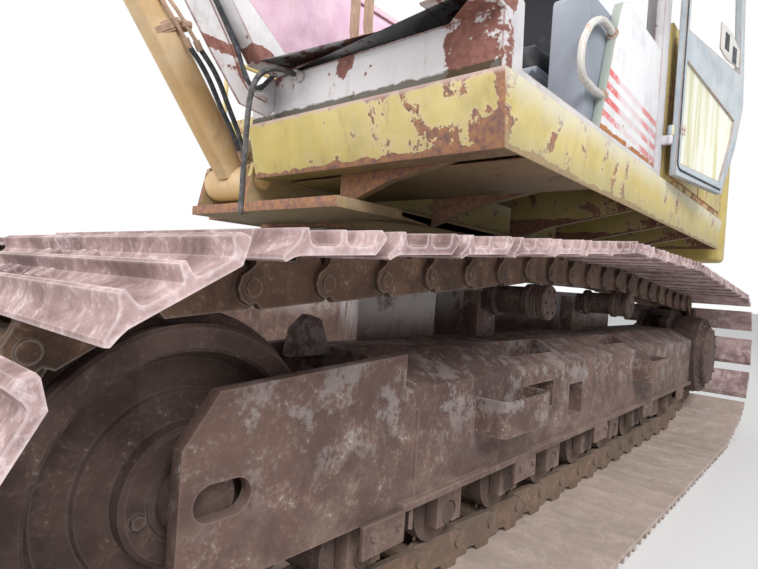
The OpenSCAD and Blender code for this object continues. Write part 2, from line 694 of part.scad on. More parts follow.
// Boom
head_gap = arm_w / 2 + side_gap;
slot_half = barrel_d * 0.57 + side_gap + 6;
module boom() {
  machine() limb(boom_foot, boom_up) {
    difference() {
      side(-boom_w / 2, boom_w / 2) {
        polygon([[-60, 130], [1500, 880], [2350, 1120], [2950, 1130], [3650, 960], [boom_l + 40, 165],
          [boom_l + 60, -165], [4600, 130], [3350, 420], [2750, 400], [2100, 290], [1300, 60], [60, -150]]);
        circle(r = 150);
        translate([boom_l, 0]) circle(r = 172);
      }
      bar(-boom_w, boom_w, 0, 0, pin_d + 2 * pin_gap);
      bar(-boom_w, boom_w, boom_l, 0, pin_d + 2 * pin_gap);
      block(boom_l - 520, boom_l + 300, -head_gap, head_gap, -400, 400);
      // Narrower foot
      for (y = [-boom_w / 2 - 1, boom_foot_w / 2])
        block(-200, 1300, y, y + (boom_w - boom_foot_w) / 2 + 1, -300, 1300);
      // Slot in the belly for the lift cylinder, with the bore of its pin
      block(1330, lug_u + 245, -slot_half, slot_half, -300, lug_v + 245);
      bar(-boom_w, boom_w, lug_u, lug_v, pin_d + 30);
    }
    // Lug of the arm cylinder
    for (y = [-crowd_half - 30, crowd_half]) side(y, y + 30) difference() {
      polygon([[crowd_foot_u - 260, 1100], [crowd_foot_u - 110, crowd_foot_v + 40],
        [crowd_foot_u, crowd_foot_v + 100], [crowd_foot_u + 100, crowd_foot_v + 40], [crowd_foot_u + 160, 1070]]);
      translate([crowd_foot_u, crowd_foot_v]) circle(r = 46);
    }
    bar(-crowd_half - 38, crowd_half + 38, crowd_foot_u, crowd_foot_v, pin_d);
    // Arm pin
    bar(-boom_w / 2 - 12, boom_w / 2 + 12, boom_l, 0, pin_d);
  }
}
// A cylinder's barrel with its eye, drawn along X from its pin
module barrel(d, l, w) {
  difference() {
    union() {
      bar(-w / 2, w / 2, 0, 0, d * 1.05);
      translate([d * 0.35, 0, 0]) rotate([0, 90, 0]) cylinder(d = d, h = l - d * 0.35);
      translate([l - 110, 0, 0]) rotate([0, 90, 0]) cylinder(d = d * 1.14, h = 110);
    }
    bar(-w, w, 0, 0, pin_d + 2 * pin_gap);
    translate([d, 0, 0]) rotate([0, 90, 0]) cylinder(d = d * 0.84, h = l);
  }
}
// A rod with its eye, drawn along X from where the barrel's pin is
module rod(d, l, w, inside, bore, stub = 60) {
  translate([inside, 0, 0]) rotate([0, 90, 0]) cylinder(d = d, h = l - inside - 60);
  translate([inside - 60, 0, 0]) rotate([0, 90, 0]) cylinder(d = bore, h = 60);
  bar(-w / 2, w / 2, l, 0, 190);
  bar(-stub, stub, l, 0, pin_d);
}
lift_l = norm(lift_lug - lift_foot);
lift_barrel_l = 1450;
lift_inside = 700;
module lift_barrel() {
  machine() limb(lift_foot, aim(lift_foot, lift_lug)) {
    barrel(barrel_d, lift_barrel_l, 2 * (web_y - side_gap));
    bar(-web_y - web_t - 8, web_y + web_t + 8, 0, 0, pin_d);
  }
}
module lift_rod() {
  machine() limb(lift_foot, aim(lift_foot, lift_lug))
    rod(rod_d, lift_l, 120, lift_inside, barrel_d * 0.84 - 1, slot_half - side_gap);
}
crowd_l = norm(heel - crowd_foot);
crowd_d = barrel_d - 5;
crowd_half = crowd_d / 2 + side_gap;
crowd_barrel_l = 2050;
crowd_inside = 1850;
module arm_barrel() {
  machine() limb(crowd_foot, aim(crowd_foot, heel)) difference() {
    barrel(crowd_d, crowd_barrel_l, crowd_d);
  }
}
module arm_rod() {
  machine() limb(crowd_foot, aim(crowd_foot, heel))
    rod(rod_d + 5, crowd_l, 110, crowd_inside, crowd_d * 0.84 - 1);
}
bcyl_l = norm(joint_pin - bcyl_foot);
bcyl_half = small_barrel_d / 2 + side_gap;
bcyl_barrel_l = 1700;
bcyl_inside = 720;
module bucket_barrel() {
  machine() limb(bcyl_foot, aim(bcyl_foot, joint_pin))
    barrel(small_barrel_d, bcyl_barrel_l, small_barrel_d);
}
module bucket_rod() {
  machine() limb(bcyl_foot, aim(bcyl_foot, joint_pin))
    rod(small_rod_d, bcyl_l, 110, bcyl_inside, small_barrel_d * 0.84 - 1);
}
module arm() {
  machine() limb(boom_tip, arm_aim) {
    difference() {
      side(-arm_w / 2, arm_w / 2) {
        polygon([[-heel_u - 60, heel_v + 80], [-200, 480], [300, 420], [1100, 330], [arm_l - 20, 115],
          [arm_l, -115], [900, -190], [0, -200], [-heel_u + 20, heel_v - 100]]);
        circle(r = 200);
        translate([arm_l, 0]) circle(r = 118);
      }
      bar(-arm_w, arm_w, 0, 0, pin_d + 2 * pin_gap);
      bar(-arm_w, arm_w, arm_l, 0, 80 + 2 * pin_gap);
      bar(-arm_w, arm_w, arm_l - rocker_back, 0, 80);
      // Slot for the arm cylinder's rod eye
      block(-heel_u - 300, -heel_u + 260, -75, 75, -100, 800);
    }
    // Lug of the bucket cylinder
    for (y = [-bcyl_half - 30, bcyl_half]) side(y, y + 30) difference() {
      polygon([[bcyl_u - 250, 400], [bcyl_u - 80, bcyl_v + 60], [bcyl_u, bcyl_v + 90],
        [bcyl_u + 90, bcyl_v + 30], [bcyl_u + 260, 400]]);
      translate([bcyl_u, bcyl_v]) circle(r = 46);
    }
    bar(-bcyl_half - 38, bcyl_half + 38, bcyl_u, bcyl_v, pin_d);
  }
}
rocker_t = 40;
module rocker() {
  a = aim(rocker_pin, joint_pin);
  machine() limb(rocker_pin, a) {
    for (y = [arm_w / 2 + side_gap, -arm_w / 2 - side_gap - rocker_t])
      side(y, y + rocker_t) {
        circle(r = 85);
        translate([rocker_l, 0]) circle(r = 80);
        translate([0, -55]) square([rocker_l, 110]);
      }
    bar(-arm_w / 2 - side_gap - rocker_t - 8, arm_w / 2 + side_gap + rocker_t + 8, 0, 0, 79);
    for (y = [arm_w / 2 + side_gap - 6, -arm_w / 2 - side_gap - rocker_t - 8]) bar(y, y + rocker_t + 14, rocker_l, 0, 100);
  }
}
module bucket_link() {
  a = aim(bucket_pin, joint_pin);
  machine() limb(bucket_pin, a) difference() {
    union() {
      for (y = [68, -148]) side(y, y + 80) {
        circle(r = 85);
        translate([link_l, 0]) circle(r = 85);
        translate([0, -60]) square([link_l, 120]);
      }
      block(110, link_l - 120, -149, 149, -50, 50);
    }
    bar(-200, 200, 0, 0, 80 + 2 * pin_gap);
    bar(-200, 200, link_l, 0, 80 + 2 * pin_gap);
  }
}
ear_y = arm_w / 2 + side_gap;
module bucket() {
  machine() translate([hinge[0], 0, hinge[1]]) rotate([0, bucket_turn, 0]) {
    // Shell and side plates
    difference() {
      side(-bucket_w / 2, bucket_w / 2) polygon(bucket_out);
      side(-bucket_w / 2 + 30, bucket_w / 2 - 30)
        polygon(concat(bucket_in, [[-400, -1360], [-400, -285]]));
    }
    // Ears
    for (y = [ear_y, -ear_y - 50])
      side(y, y + 50) {
        polygon([[-120, -195], [-110, 60], [-40, 115], [60, 120], [400, 160], [520, 130], [600, -160],
          [430, -160], [-60, -180]]);
      }
    bar(-ear_y - 60, ear_y + 60, 0, 0, 80);
    bar(-ear_y - 60, ear_y + 60, 430, 60, 80);
    // Teeth
    for (i = [-2:2]) side(i * (bucket_w / 2 - 60) / 2 - 45, i * (bucket_w / 2 - 60) / 2 + 45)
      polygon([[-200, -1330], [-200, -1395], tooth_tip]);
  }
}
hose_x0 = cab_x1 + 30 + thin;
hose_z0 = cab_z + sill_h - 24;
// Points along the hose, measured from where it leaves its port
hose_steps = [
  [0, 0, 0], [32, 0, 0], [67, -9, 0], [102, -24, -9], [132, -36, -32], [154, -46, -72],
  [164, -52, -122], [168, -55, -182], [169, -57, -262], [169, -58, -342], [169, -60, -422],
  [169, -60, -502], [169, -60, -582]
];
hose_pts = [for (p = hose_steps) [hose_x0, hose_y, hose_z0] + p];
// A bent tube of eight sides through the points
module tube(pts, d) {
  n = 8;
  m = len(pts);
  dirs = [for (i = [0:m - 1]) let (a = pts[max(0, i - 1)], b = pts[min(m - 1, i + 1)]) (b - a) / norm(b - a)];
  rings = [for (i = [0:m - 1]) let (t = dirs[i], x = cross([0, 1, 0], t) / norm(cross([0, 1, 0], t)), y = cross(t, x))
    for (k = [0:n - 1]) pts[i] + d / 2 * (cos(k * 360 / n) * x + sin(k * 360 / n) * y)];
  faces = concat([[for (k = [0:n - 1]) k]], [[for (k = [n - 1:-1:0]) (m - 1) * n + k]],
    [for (i = [0:m - 2]) for (k = [0:n - 1]) [i * n + (k + 1) % n, i * n + k, (i + 1) * n + k, (i + 1) * n + (k + 1) % n]]);
  polyhedron(points = rings, faces = faces, convexity = 4);
}
module loose_hose() {
  machine() tube(hose_pts, hose_d);
}

color("saddlebrown") centre_frame();
color("saddlebrown") track_frame(1);  // track_frame_left
color("saddlebrown") track_frame(-1);  // track_frame_right
color("rosybrown") track(1);  // track_left
color("rosybrown") track(-1);  // track_right
color("sienna") chain(1);  // chain_left
color("sienna") chain(-1);  // chain_right
color("dimgray") idler(1);  // idler_left
color("dimgray") idler(-1);  // idler_right
color("saddlebrown") final_drive(1);  // final_drive_left
color("saddlebrown") final_drive(-1);  // final_drive_right
color("dimgray") rollers_of(1);  // rollers_left
color("dimgray") rollers_of(-1);  // rollers_right
color("gray") swing_ring_lower();
color("goldenrod") revolving_frame();
color("goldenrod") deck(1);  // deck_left
color("goldenrod") deck(-1);  // deck_right
color("goldenrod") counterweight();
color("khaki") machinery_house();
color("khaki") engine_hood();
color("gray") engine_block();
color("khaki") tank_house();
color("dimgray") exhaust();
color("whitesmoke") cab_shell();
color("white") cab_striped_panel();
color("lightgray") cab_door();
color("black") seat();
color("gray") console();
color("brown") levers();
color("whitesmoke") grab_handle();
color("whitesmoke") handrails();
color("goldenrod") boom();
color("orange") lift_barrel();
color("silver") lift_rod();
color("goldenrod") arm();
color("orange") arm_barrel();
color("silver") arm_rod();
color("orange") bucket_barrel();
color("silver") bucket_rod();
color("goldenrod") rocker();
color("goldenrod") bucket_link();
color("dimgray") bucket();
color("black") loose_hose();
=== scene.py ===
import json
import math
import bmesh
import bpy
from mathutils import Matrix, Vector


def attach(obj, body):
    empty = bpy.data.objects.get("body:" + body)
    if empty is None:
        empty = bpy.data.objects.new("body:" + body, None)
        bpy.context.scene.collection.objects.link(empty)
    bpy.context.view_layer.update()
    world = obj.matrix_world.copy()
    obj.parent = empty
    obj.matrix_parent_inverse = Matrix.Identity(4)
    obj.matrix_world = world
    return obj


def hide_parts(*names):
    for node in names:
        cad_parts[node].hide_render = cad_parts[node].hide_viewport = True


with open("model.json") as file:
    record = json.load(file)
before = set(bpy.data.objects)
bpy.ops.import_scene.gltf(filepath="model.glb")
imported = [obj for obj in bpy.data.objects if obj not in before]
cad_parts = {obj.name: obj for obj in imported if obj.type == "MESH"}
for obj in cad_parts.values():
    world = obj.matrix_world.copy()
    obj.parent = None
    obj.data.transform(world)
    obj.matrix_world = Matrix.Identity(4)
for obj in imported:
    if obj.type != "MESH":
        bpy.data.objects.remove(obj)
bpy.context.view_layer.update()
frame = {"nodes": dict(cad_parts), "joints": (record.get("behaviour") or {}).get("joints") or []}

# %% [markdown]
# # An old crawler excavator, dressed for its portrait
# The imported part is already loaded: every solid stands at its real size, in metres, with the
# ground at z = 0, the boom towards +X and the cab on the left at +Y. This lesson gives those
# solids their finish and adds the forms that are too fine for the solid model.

joint_at = {joint["name"]: joint.get("pos_m") for joint in frame["joints"]}
AXIS_X = joint_at["swing"][0]


def placed(name, data):
    """An object in the scene that shows a mesh, a curve, a lamp or a camera."""
    thing = bpy.data.objects.new(name, data)
    bpy.context.scene.collection.objects.link(thing)
    return thing


# %% [markdown]
# ## The camera
# The portrait is taken from low beside the left track with a wide lens, held slightly askew.
# The camera's three axes are worked out from its heading, its tilt and its roll, which is
# plainer than turning it step by step.

# %% Camera
CAMERA_AT = Vector((2.4195 + AXIS_X, 2.2755, 0.9118))
HEADING, TILT, ROLL = 0.7196, -0.0068, 0.0679
ahead = Vector((-math.cos(HEADING) * math.cos(TILT), -math.sin(HEADING) * math.cos(TILT),
                math.sin(TILT)))
level = ahead.cross(Vector((0, 0, 1))).normalized()
upright = level.cross(ahead)
right = level * math.cos(ROLL) + upright * math.sin(ROLL)
top = upright * math.cos(ROLL) - level * math.sin(ROLL)
camera = placed("camera", bpy.data.cameras.new("camera"))
camera.matrix_world = Matrix.Translation(CAMERA_AT) @ Matrix((right, top, -ahead)).transposed().to_4x4()
camera.data.sensor_width, camera.data.lens = 36.0, 25.52
camera.data.clip_start, camera.data.clip_end = 0.02, 400
bpy.context.scene.camera = camera
print("camera at", tuple(round(v, 3) for v in CAMERA_AT))

# %% [markdown]
# ## Sums with shader sockets
# A worn machine is mostly layers: paint, chips, rust and dust, each let through by a mask.
# Such masks are sums of noises, and a sum reads best as plain arithmetic. This small class
# wraps a socket, so that an expression on it adds the Math nodes. Only the operators that the
# finishes use are overloaded, with their reflected forms.

# %% Signal
class Signal:
    def __init__(self, tree, socket):
        self.tree, self.socket = tree, socket

    def math(self, operation, *others, swap=False):
        node = self.tree.nodes.new("ShaderNodeMath")
        node.operation = operation
        terms = list(others) + [self] if swap else [self] + list(others)
        for slot, term in zip(node.inputs, terms):
            plug(self.tree, slot, term)
        return Signal(self.tree, node.outputs[0])

    def __add__(self, other): return self.math("ADD", other)
    def __radd__(self, other): return self.math("ADD", other)
    def __sub__(self, other): return self.math("SUBTRACT", other)
    def __rsub__(self, other): return self.math("SUBTRACT", other, swap=True)
    def __mul__(self, other): return self.math("MULTIPLY", other)
    def __rmul__(self, other): return self.math("MULTIPLY", other)


def plug(tree, slot, value):
    """Links a signal into a socket, or sets the socket's own value."""
    if isinstance(value, Signal):
        tree.links.new(value.socket, slot)
    elif isinstance(value, (tuple, list)) and len(value) == 3 and slot.type == "RGBA":
        slot.default_value = (*value, 1.0)
    else:
        slot.default_value = value


print("signals ready")

# %% [markdown]
# ## One finish under construction
# A finish starts as a Principled shader and a set of object coordinates. Every piece's object
# sits at the origin, so the pattern stays on the metal at its real scale. One method adds any
# node: its type, its settings, then what goes into its sockets.

# %% Finish
class Finish:
    def __init__(self, name):
        self.material = bpy.data.materials.new(name)
        self.material.use_nodes = True
        self.tree = self.material.node_tree
        self.shader = self.tree.nodes["Principled BSDF"]
        self.at = self.add("ShaderNodeTexCoord", out="Object")
        self.x = self.add("ShaderNodeSeparateXYZ", out="X", Vector=self.at) - AXIS_X
        self.y = self.add("ShaderNodeSeparateXYZ", out="Y", Vector=self.at)
        self.z = self.add("ShaderNodeSeparateXYZ", out="Z", Vector=self.at)

    def add(self, kind, settings=None, out=0, **values):
        node = self.tree.nodes.new(kind)
        for key, value in (settings or {}).items():
            if key == "stops":
                ramp = node.color_ramp
                while len(ramp.elements) < len(value):
                    ramp.elements.new(0.5)
                for element, (place, colour) in zip(ramp.elements, value):
                    element.position, element.color = place, (*colour, 1)
            else:
                setattr(node, key, value)
        for key, value in values.items():
            name = key.replace("_", " ")
            slot = node.inputs[int(key[1:])] if key[1:].isdigit() else node.inputs[name]
            plug(self.tree, slot, value)
        return Signal(self.tree, node.outputs[out])

    def noise(self, scale, detail=4.0, rough=0.55, at=None, distort=0.0):
        return self.add("ShaderNodeTexNoise", Vector=at or self.at, Scale=scale, Detail=detail,
                        Roughness=rough, Distortion=distort)

    def streaks(self, x, y, z, detail, rough):
        """A noise stretched by its own scale along each axis."""
        return self.noise(1.0, detail, rough, self.add("ShaderNodeMapping", Vector=self.at, Scale=(x, y, z)))

    def step(self, value, low, high):
        """0 where the value is at low, 1 where it is at high, with a smooth rise between."""
        return self.add("ShaderNodeMapRange", {"interpolation_type": "SMOOTHSTEP"}, Value=value,
                        From_Min=low, From_Max=high)

    def band(self, value, middle, outer, inner):
        """1 where the value is nearer to the middle than inner, 0 beyond outer."""
        return self.step((value - middle).math("ABSOLUTE"), outer, inner)

    def mix(self, mask, under, over):
        return self.add("ShaderNodeMix", {"data_type": "RGBA"}, out=2, i0=mask, i6=under, i7=over)

    def facing(self, axis):
        normal = self.add("ShaderNodeNewGeometry", out="Normal")
        return self.add("ShaderNodeSeparateXYZ", out=axis, Vector=normal)

    def towards(self, axis, low, high):
        return self.step(self.facing(axis), low, high)

    def edges(self, radius):
        """How far a rounded edge would bend the surface here: 0 on a flat, larger at an edge."""
        soft = self.add("ShaderNodeBevel", {"samples": 4}, Radius=radius)
        flat = self.add("ShaderNodeNewGeometry", out="Normal")
        return 1 - self.add("ShaderNodeVectorMath", {"operation": "DOT_PRODUCT"}, out="Value",
                            i0=soft, i1=flat)

    def done(self, colour, rough, bump=None, height=0.002, metal=0.0):
        feeds = {"Base Color": colour, "Roughness": rough, "Metallic": metal}
        if bump is not None:
            feeds["Normal"] = self.add("ShaderNodeBump", Height=bump, Distance=height, Strength=1.0)
        for name, value in feeds.items():
            plug(self.tree, self.shader.inputs[name], value)
        return self.material


print("finishes ready")

# %% [markdown]
# ## Painted steel that has stood outdoors
# Old paint fades unevenly, chips first along edges, shows a pale rim round each chip, and
# lets rust run down from there. The chips are one mask: three noises and the edge measure,
# cut off sharply. The rim is the same mask cut off a little lower.

# %% Painted finish
CHIP_EDGE, EDGE_CHIPPING = 0.012, 2.2
PAINT_ROUGH, BARE_ROUGH, DUST = 0.48, 0.86, (0.42, 0.36, 0.28)


def painted(name, fresh, faded, rust=(0.21, 0.085, 0.04), bright_rust=(0.45, 0.19, 0.07),
            chips=0.62, stains=0.5, dust=0.35, rim=(0.62, 0.58, 0.5), wear=None, grime_and_shade=None):
    f = Finish(name)
    broad, mid, fine = f.noise(1.7, 5), f.noise(9.0, 9, 0.62, distort=0.4), f.noise(70.0, 4)
    worn = f.edges(CHIP_EDGE)
    field = mid * 0.62 + fine * 0.16 + broad * 0.22 + worn * EDGE_CHIPPING * (0.3 + fine)
    if wear:
        field = field + wear(f)
    chip = f.step(field, chips, chips + 0.012)
    halo = f.step(field, chips - 0.035, chips + 0.004)
    run = f.step(f.streaks(26, 26, 1.6, 6, 0.6) * 0.7 + mid * 0.3 + worn * 0.6, 0.53, 0.7) * stains
    paint = f.mix(f.step(broad * 0.6 + mid * 0.4, 0.36, 0.64), fresh, faded)
    grimy = f.mix(f.step(f.noise(4.2, 8, 0.66), 0.45, 0.72) * 0.4, paint, [c * 0.42 for c in faded])
    stained = f.mix(run, grimy, [0.6 * a + 0.4 * b for a, b in zip(bright_rust, rust)])
    rimmed = f.mix(halo * 0.55, stained, rim)
    flakes = f.mix(f.step(f.noise(38.0, 8, 0.7), 0.35, 0.62), rust, bright_rust)
    bare = f.mix(chip, rimmed, flakes)
    settled = f.towards("Z", 0.55, 0.95) * f.step(f.noise(7.0, 8, 0.65), 0.3, 0.66) * dust
    colour = f.mix(settled, bare, DUST)
    # Colours laid over by place: grime, print and trim, and on the deck's underside painted shade.
    if grime_and_shade:
        for mask, shade in grime_and_shade(f):
            colour = f.mix(mask, colour, shade)
    gloss = chip * (BARE_ROUGH - PAINT_ROUGH) + PAINT_ROUGH + fine * 0.16 + settled * 0.25
    bump = (1 - chip) * 0.55 + halo * 0.12 + fine * 0.1 + chip * f.noise(120.0, 5, 0.7) * 0.5
    return f.done(colour, gloss, bump, 0.0018)


print("painted finish ready")

# %% [markdown]
# ## Steel gone to rust
# The undercarriage has lost nearly all its paint. Its brown is three noises between a dark, a
# middle and a light rust, with grey specks of dried mud, pale worn edges where it rubs, and
# more mud the nearer it is to the ground.

# %% Rusted finish
def rusted(name, dark, middle, light, speck=(0.52, 0.48, 0.45), specks=0.5, polish=None, mud=0.3,
           mud_colour=(0.40, 0.33, 0.27), mud_top=0.9, rough=0.82, paint=None):
    f = Finish(name)
    broad, mid, fine = f.noise(2.3, 6), f.noise(13.0, 9, 0.68, distort=0.5), f.noise(95.0, 6, 0.66)
    tone = f.mix(f.step(broad * 0.45 + mid * 0.55, 0.36, 0.62), dark, middle)
    tone = f.mix(f.step(mid * 0.5 + fine * 0.5, 0.5, 0.68) * 0.75, tone, light)
    worn = f.edges(0.009)
    scuffed = f.mix(f.step(worn * (0.5 + mid), 0.06, 0.22) * 0.55, tone, light)
    grey = f.step(fine * 0.55 + mid * 0.45, 0.60, 0.66) * specks
    speckled = f.mix(grey, scuffed, speck)
    if paint:
        for mask, shade in paint(f):
            speckled = f.mix(mask, speckled, shade)
    low = f.step(f.z, mud_top, 0.1)
    caked = f.step(f.noise(5.5, 9, 0.7) * 0.62 + low * 0.3 + f.towards("Z", 0.3, 1.0) * 0.14,
                   0.46, 0.62) * mud
    colour = f.mix(caked, speckled, f.mix(fine, mud_colour, [c * 1.3 for c in mud_colour]))
    gloss = rough - grey * 0.08 + fine * 0.1
    metal = 0.0
    if polish is not None:
        rub = f.step(worn * 2.0 + mid * 0.5, 0.38, 0.62)
        colour = f.mix(rub * 0.8, colour, polish)
        gloss = gloss - rub * 0.34
        metal = rub * 0.6
    bump = fine * 0.45 + mid * 0.4 + grey * 0.25 + caked * 0.6
    return f.done(colour, gloss, bump, 0.0035, metal=metal)


print("rusted finish ready")

# %% [markdown]
# ## Where the wear sits
# Rust on this machine has places: the front sill's top edge and its left corner, the corner of
# the left deck and the deck's lower lip. Each is a function that returns masks in the
# machine's own coordinates, so the finish itself stays general.

# %% Wear by place
def cab_wear(f):
    front = f.step(f.x, 0.93, 0.98)
    ahead = f.towards("X", 0.2, 0.5)
    brim = f.step(f.z + f.noise(16, 6) * 0.03, 1.755, 1.778) * front * f.step(f.z, 1.80, 1.785) * 0.16
    corner = f.step(f.y + f.noise(6, 4) * 0.05, 1.26, 1.295) * front * f.step(f.z, 2.3, 1.9) * 0.125
    foot = f.step(f.y, 0.53, 0.45) * ahead * f.step(f.z, 1.9, 1.7) * 0.06
    patch = f.band(f.y, 0.82, 0.06, 0.03) * f.band(f.z, 1.70, 0.06, 0.02) * 0.12
    return brim + corner + foot + patch * front


def cab_grime(f):
    line = f.step(f.z + f.noise(20, 7, 0.65) * 0.035, 1.608, 1.600) * f.towards("X", 0.3, 0.6)
    inside = f.step(f.y, 0.415, 0.430) * f.step(f.y, 0.47, 0.45) * f.towards("Y", 0.4, 0.7)
    faded_trim = f.mix(f.streaks(3, 3, 0.6, 5, 0.6), (0.46, 0.27, 0.38), (0.70, 0.52, 0.60))
    return (inside, faded_trim), (line * 0.9, (0.05, 0.038, 0.018))


def deck_wear(f):
    ahead, aside = f.towards("X", 0.4, 0.7), f.towards("Y", 0.4, 0.7)
    corner = ahead * f.step(f.y + f.noise(8, 5) * 0.05, 1.475, 1.505) * 0.2
    corner = aside * f.step(f.x + f.noise(8, 5) * 0.05, 0.965, 1.01) * 0.14 + corner
    near = ahead * f.step(f.y, 0.85, 1.40) * f.step(f.z + f.noise(3, 5) * 0.2, 1.62, 1.50) * 0.075
    lip = f.step(f.z + f.noise(11, 7) * 0.045, 1.382, 1.362) * (ahead + aside).math("MINIMUM", 1.0) * 0.2
    brow = f.step(f.z, 1.535, 1.552) * ahead * 0.055
    scratch = f.step(f.streaks(60, 34, 9, 5, 0.7), 0.62, 0.72) * ahead * 0.06
    return corner + near + lip + brow + scratch


# Colours laid on the deck by place. Faces that look down get painted shade, a dark and uneven olive. Side
# faces are paler towards the top and darker towards the bottom, and front faces are pinkish near the top.
def deck_grime_and_shade(f):
    ahead, aside = f.towards("X", 0.4, 0.7), f.towards("Y", 0.4, 0.7)
    # Painted shade: faces that look down are coloured dark, as if in shadow.
    down_facing_shade = f.towards("Z", -0.5, -0.9)
    rose = f.step(f.z + f.noise(9, 5) * 0.02, 1.545, 1.562) * ahead
    cream = aside * f.step(f.z + f.noise(2.5, 4) * 0.12, 1.50, 1.62)
    low = aside * f.step(f.z + f.noise(5, 6) * 0.06, 1.47, 1.38)
    # The colour of the painted shade under the deck, uneven by a noise.
    underside_shade_colour = f.mix(f.noise(6, 7), (0.12, 0.09, 0.055), (0.32, 0.25, 0.16))
    return ((cream * 0.7, (0.62, 0.60, 0.50)), (low * 0.5, (0.40, 0.36, 0.20)),
            (rose * 0.75, (0.56, 0.42, 0.40)), (down_facing_shade * 0.8, underside_shade_colour))


def panel_wear(f):
    return f.step(f.z + f.noise(9, 6) * 0.05, 1.665, 1.635) * 0.2


DOOR_AT, DOOR_GAPE = Vector((-0.702, 1.513, 0)), math.radians(9)


def door_grime(f):
    """The recessed pane of the door, found by its depth in the leaf that lies back at an angle."""
    depth = (f.x - DOOR_AT.x) * math.sin(DOOR_GAPE) + (f.y - DOOR_AT.y) * math.cos(DOOR_GAPE)
    pane = f.step(depth, 0.0250, 0.0235) * f.towards("Y", 0.5, 0.8)
    streaks = f.step(f.streaks(9, 9, 0.9, 6, 0.6), 0.42, 0.62)
    return ((pane, f.mix(streaks, (0.74, 0.74, 0.66), (0.56, 0.54, 0.33))),)


def beam_paint(f):
    grey = f.step(f.noise(8, 10, 0.75) * 0.7 + f.noise(30, 8, 0.7) * 0.3, 0.50, 0.56)
    return ((grey * f.step(f.z, 0.40, 0.62) * 0.42, (0.34, 0.31, 0.30)),)


def leg_paint(f):
    left = f.step(f.noise(5, 9, 0.72), 0.66, 0.50)
    return ((left * f.step(f.z, 0.7, 0.85) * 0.85, (0.50, 0.46, 0.45)),)


print("places of wear ready")

# %% [markdown]
# ## The finishes of this machine
# Each surface gets its own paint or rust. The colours were set by comparing renders with the
# photograph: the shoes are pale and pinkish from dried mud, and the wheels nearly black. A
# finish is one call, so that a colour can be changed in one place.

# %% Finishes
yellow = painted("mustard_paint", (0.50, 0.385, 0.105), (0.56, 0.465, 0.20), rust=(0.16, 0.085, 0.075),
                 bright_rust=(0.47, 0.22, 0.09), chips=0.585, stains=0.4, rim=(0.60, 0.50, 0.36))
deck_yellow = painted("deck_paint", (0.52, 0.41, 0.125), (0.58, 0.49, 0.22), rust=(0.175, 0.10, 0.095),
                      bright_rust=(0.36, 0.18, 0.09), chips=0.570, stains=0.55, rim=(0.58, 0.47, 0.34),
                      wear=deck_wear, grime_and_shade=deck_grime_and_shade)
white = painted("cab_paint", (0.56, 0.55, 0.58), (0.62, 0.60, 0.61), rust=(0.17, 0.068, 0.058),
                bright_rust=(0.25, 0.115, 0.09), chips=0.595, stains=0.35, dust=0.2, rim=(0.50, 0.43, 0.40),
                wear=cab_wear, grime_and_shade=cab_grime)
mauve = painted("trim_paint", (0.50, 0.31, 0.42), (0.66, 0.47, 0.55), chips=0.68, stains=0.3, dust=0.1)
rail_paint = painted("rail_paint", (0.60, 0.48, 0.20), (0.66, 0.58, 0.34), chips=0.60, stains=0.3)
greenish = painted("door_paint", (0.36, 0.42, 0.46), (0.48, 0.53, 0.56), chips=0.64, stains=0.3, dust=0.15,
                   grime_and_shade=door_grime)
bar_paint = painted("bar_paint", (0.52, 0.52, 0.50), (0.62, 0.62, 0.60), chips=0.63, stains=0.3, dust=0.1)
orange = painted("cylinder_paint", (0.60, 0.38, 0.17), (0.66, 0.50, 0.31), chips=0.64, stains=0.35,
                 rust=(0.25, 0.11, 0.06), rim=(0.66, 0.56, 0.42))
frame_rust = rusted("frame_rust", (0.075, 0.042, 0.036), (0.135, 0.082, 0.066), (0.27, 0.20, 0.17),
                    specks=0.75, speck=(0.46, 0.43, 0.41), paint=beam_paint, mud=0.22,
                    mud_colour=(0.27, 0.21, 0.17))
leg_rust = rusted("leg_rust", (0.075, 0.042, 0.036), (0.15, 0.09, 0.07), (0.30, 0.2, 0.16), specks=0.5,
                  paint=leg_paint, mud=0.2)
shoe_rust = rusted("shoe_rust", (0.17, 0.105, 0.10), (0.48, 0.345, 0.34), (0.76, 0.66, 0.66),
                   mud=0.7, mud_colour=(0.36, 0.30, 0.25), mud_top=0.45)
chain_rust = rusted("chain_rust", (0.05, 0.026, 0.018), (0.13, 0.072, 0.045), (0.30, 0.19, 0.13), mud=0.35,
                    polish=(0.24, 0.21, 0.19), mud_colour=(0.22, 0.17, 0.13))
wheel_rust = rusted("wheel_rust", (0.045, 0.025, 0.02), (0.09, 0.055, 0.045), (0.19, 0.13, 0.105),
                    polish=(0.20, 0.17, 0.155), mud=0.2, mud_colour=(0.2, 0.15, 0.12))
bucket_rust = rusted("bucket_rust", (0.09, 0.055, 0.045), (0.20, 0.14, 0.115), (0.40, 0.33, 0.29), mud=0.5,
                     polish=(0.42, 0.40, 0.38), mud_top=1.6)
ring_steel = rusted("ring_steel", (0.16, 0.13, 0.11), (0.34, 0.30, 0.25), (0.58, 0.54, 0.47),
                    mud=0.25, rough=0.6)
soot_rust = rusted("soot_rust", (0.03, 0.022, 0.02), (0.13, 0.065, 0.045), (0.30, 0.16, 0.09),
                   mud=0.0, specks=0.1)
lever_rust = rusted("lever_rust", (0.26, 0.15, 0.10), (0.46, 0.31, 0.22), (0.62, 0.48, 0.38), mud=0.0)
print(len(bpy.data.materials), "finishes")


# %% [markdown]
# ## From a mesh under construction to a piece
# All shapes are drawn in the machine's own measure, with x = 0 on the swing axis, and are
# moved to the frame at the end. Every piece goes through one function, which merges doubles,
# turns the faces outwards, keeps the hard edges hard, and tells the frame what it rides on.

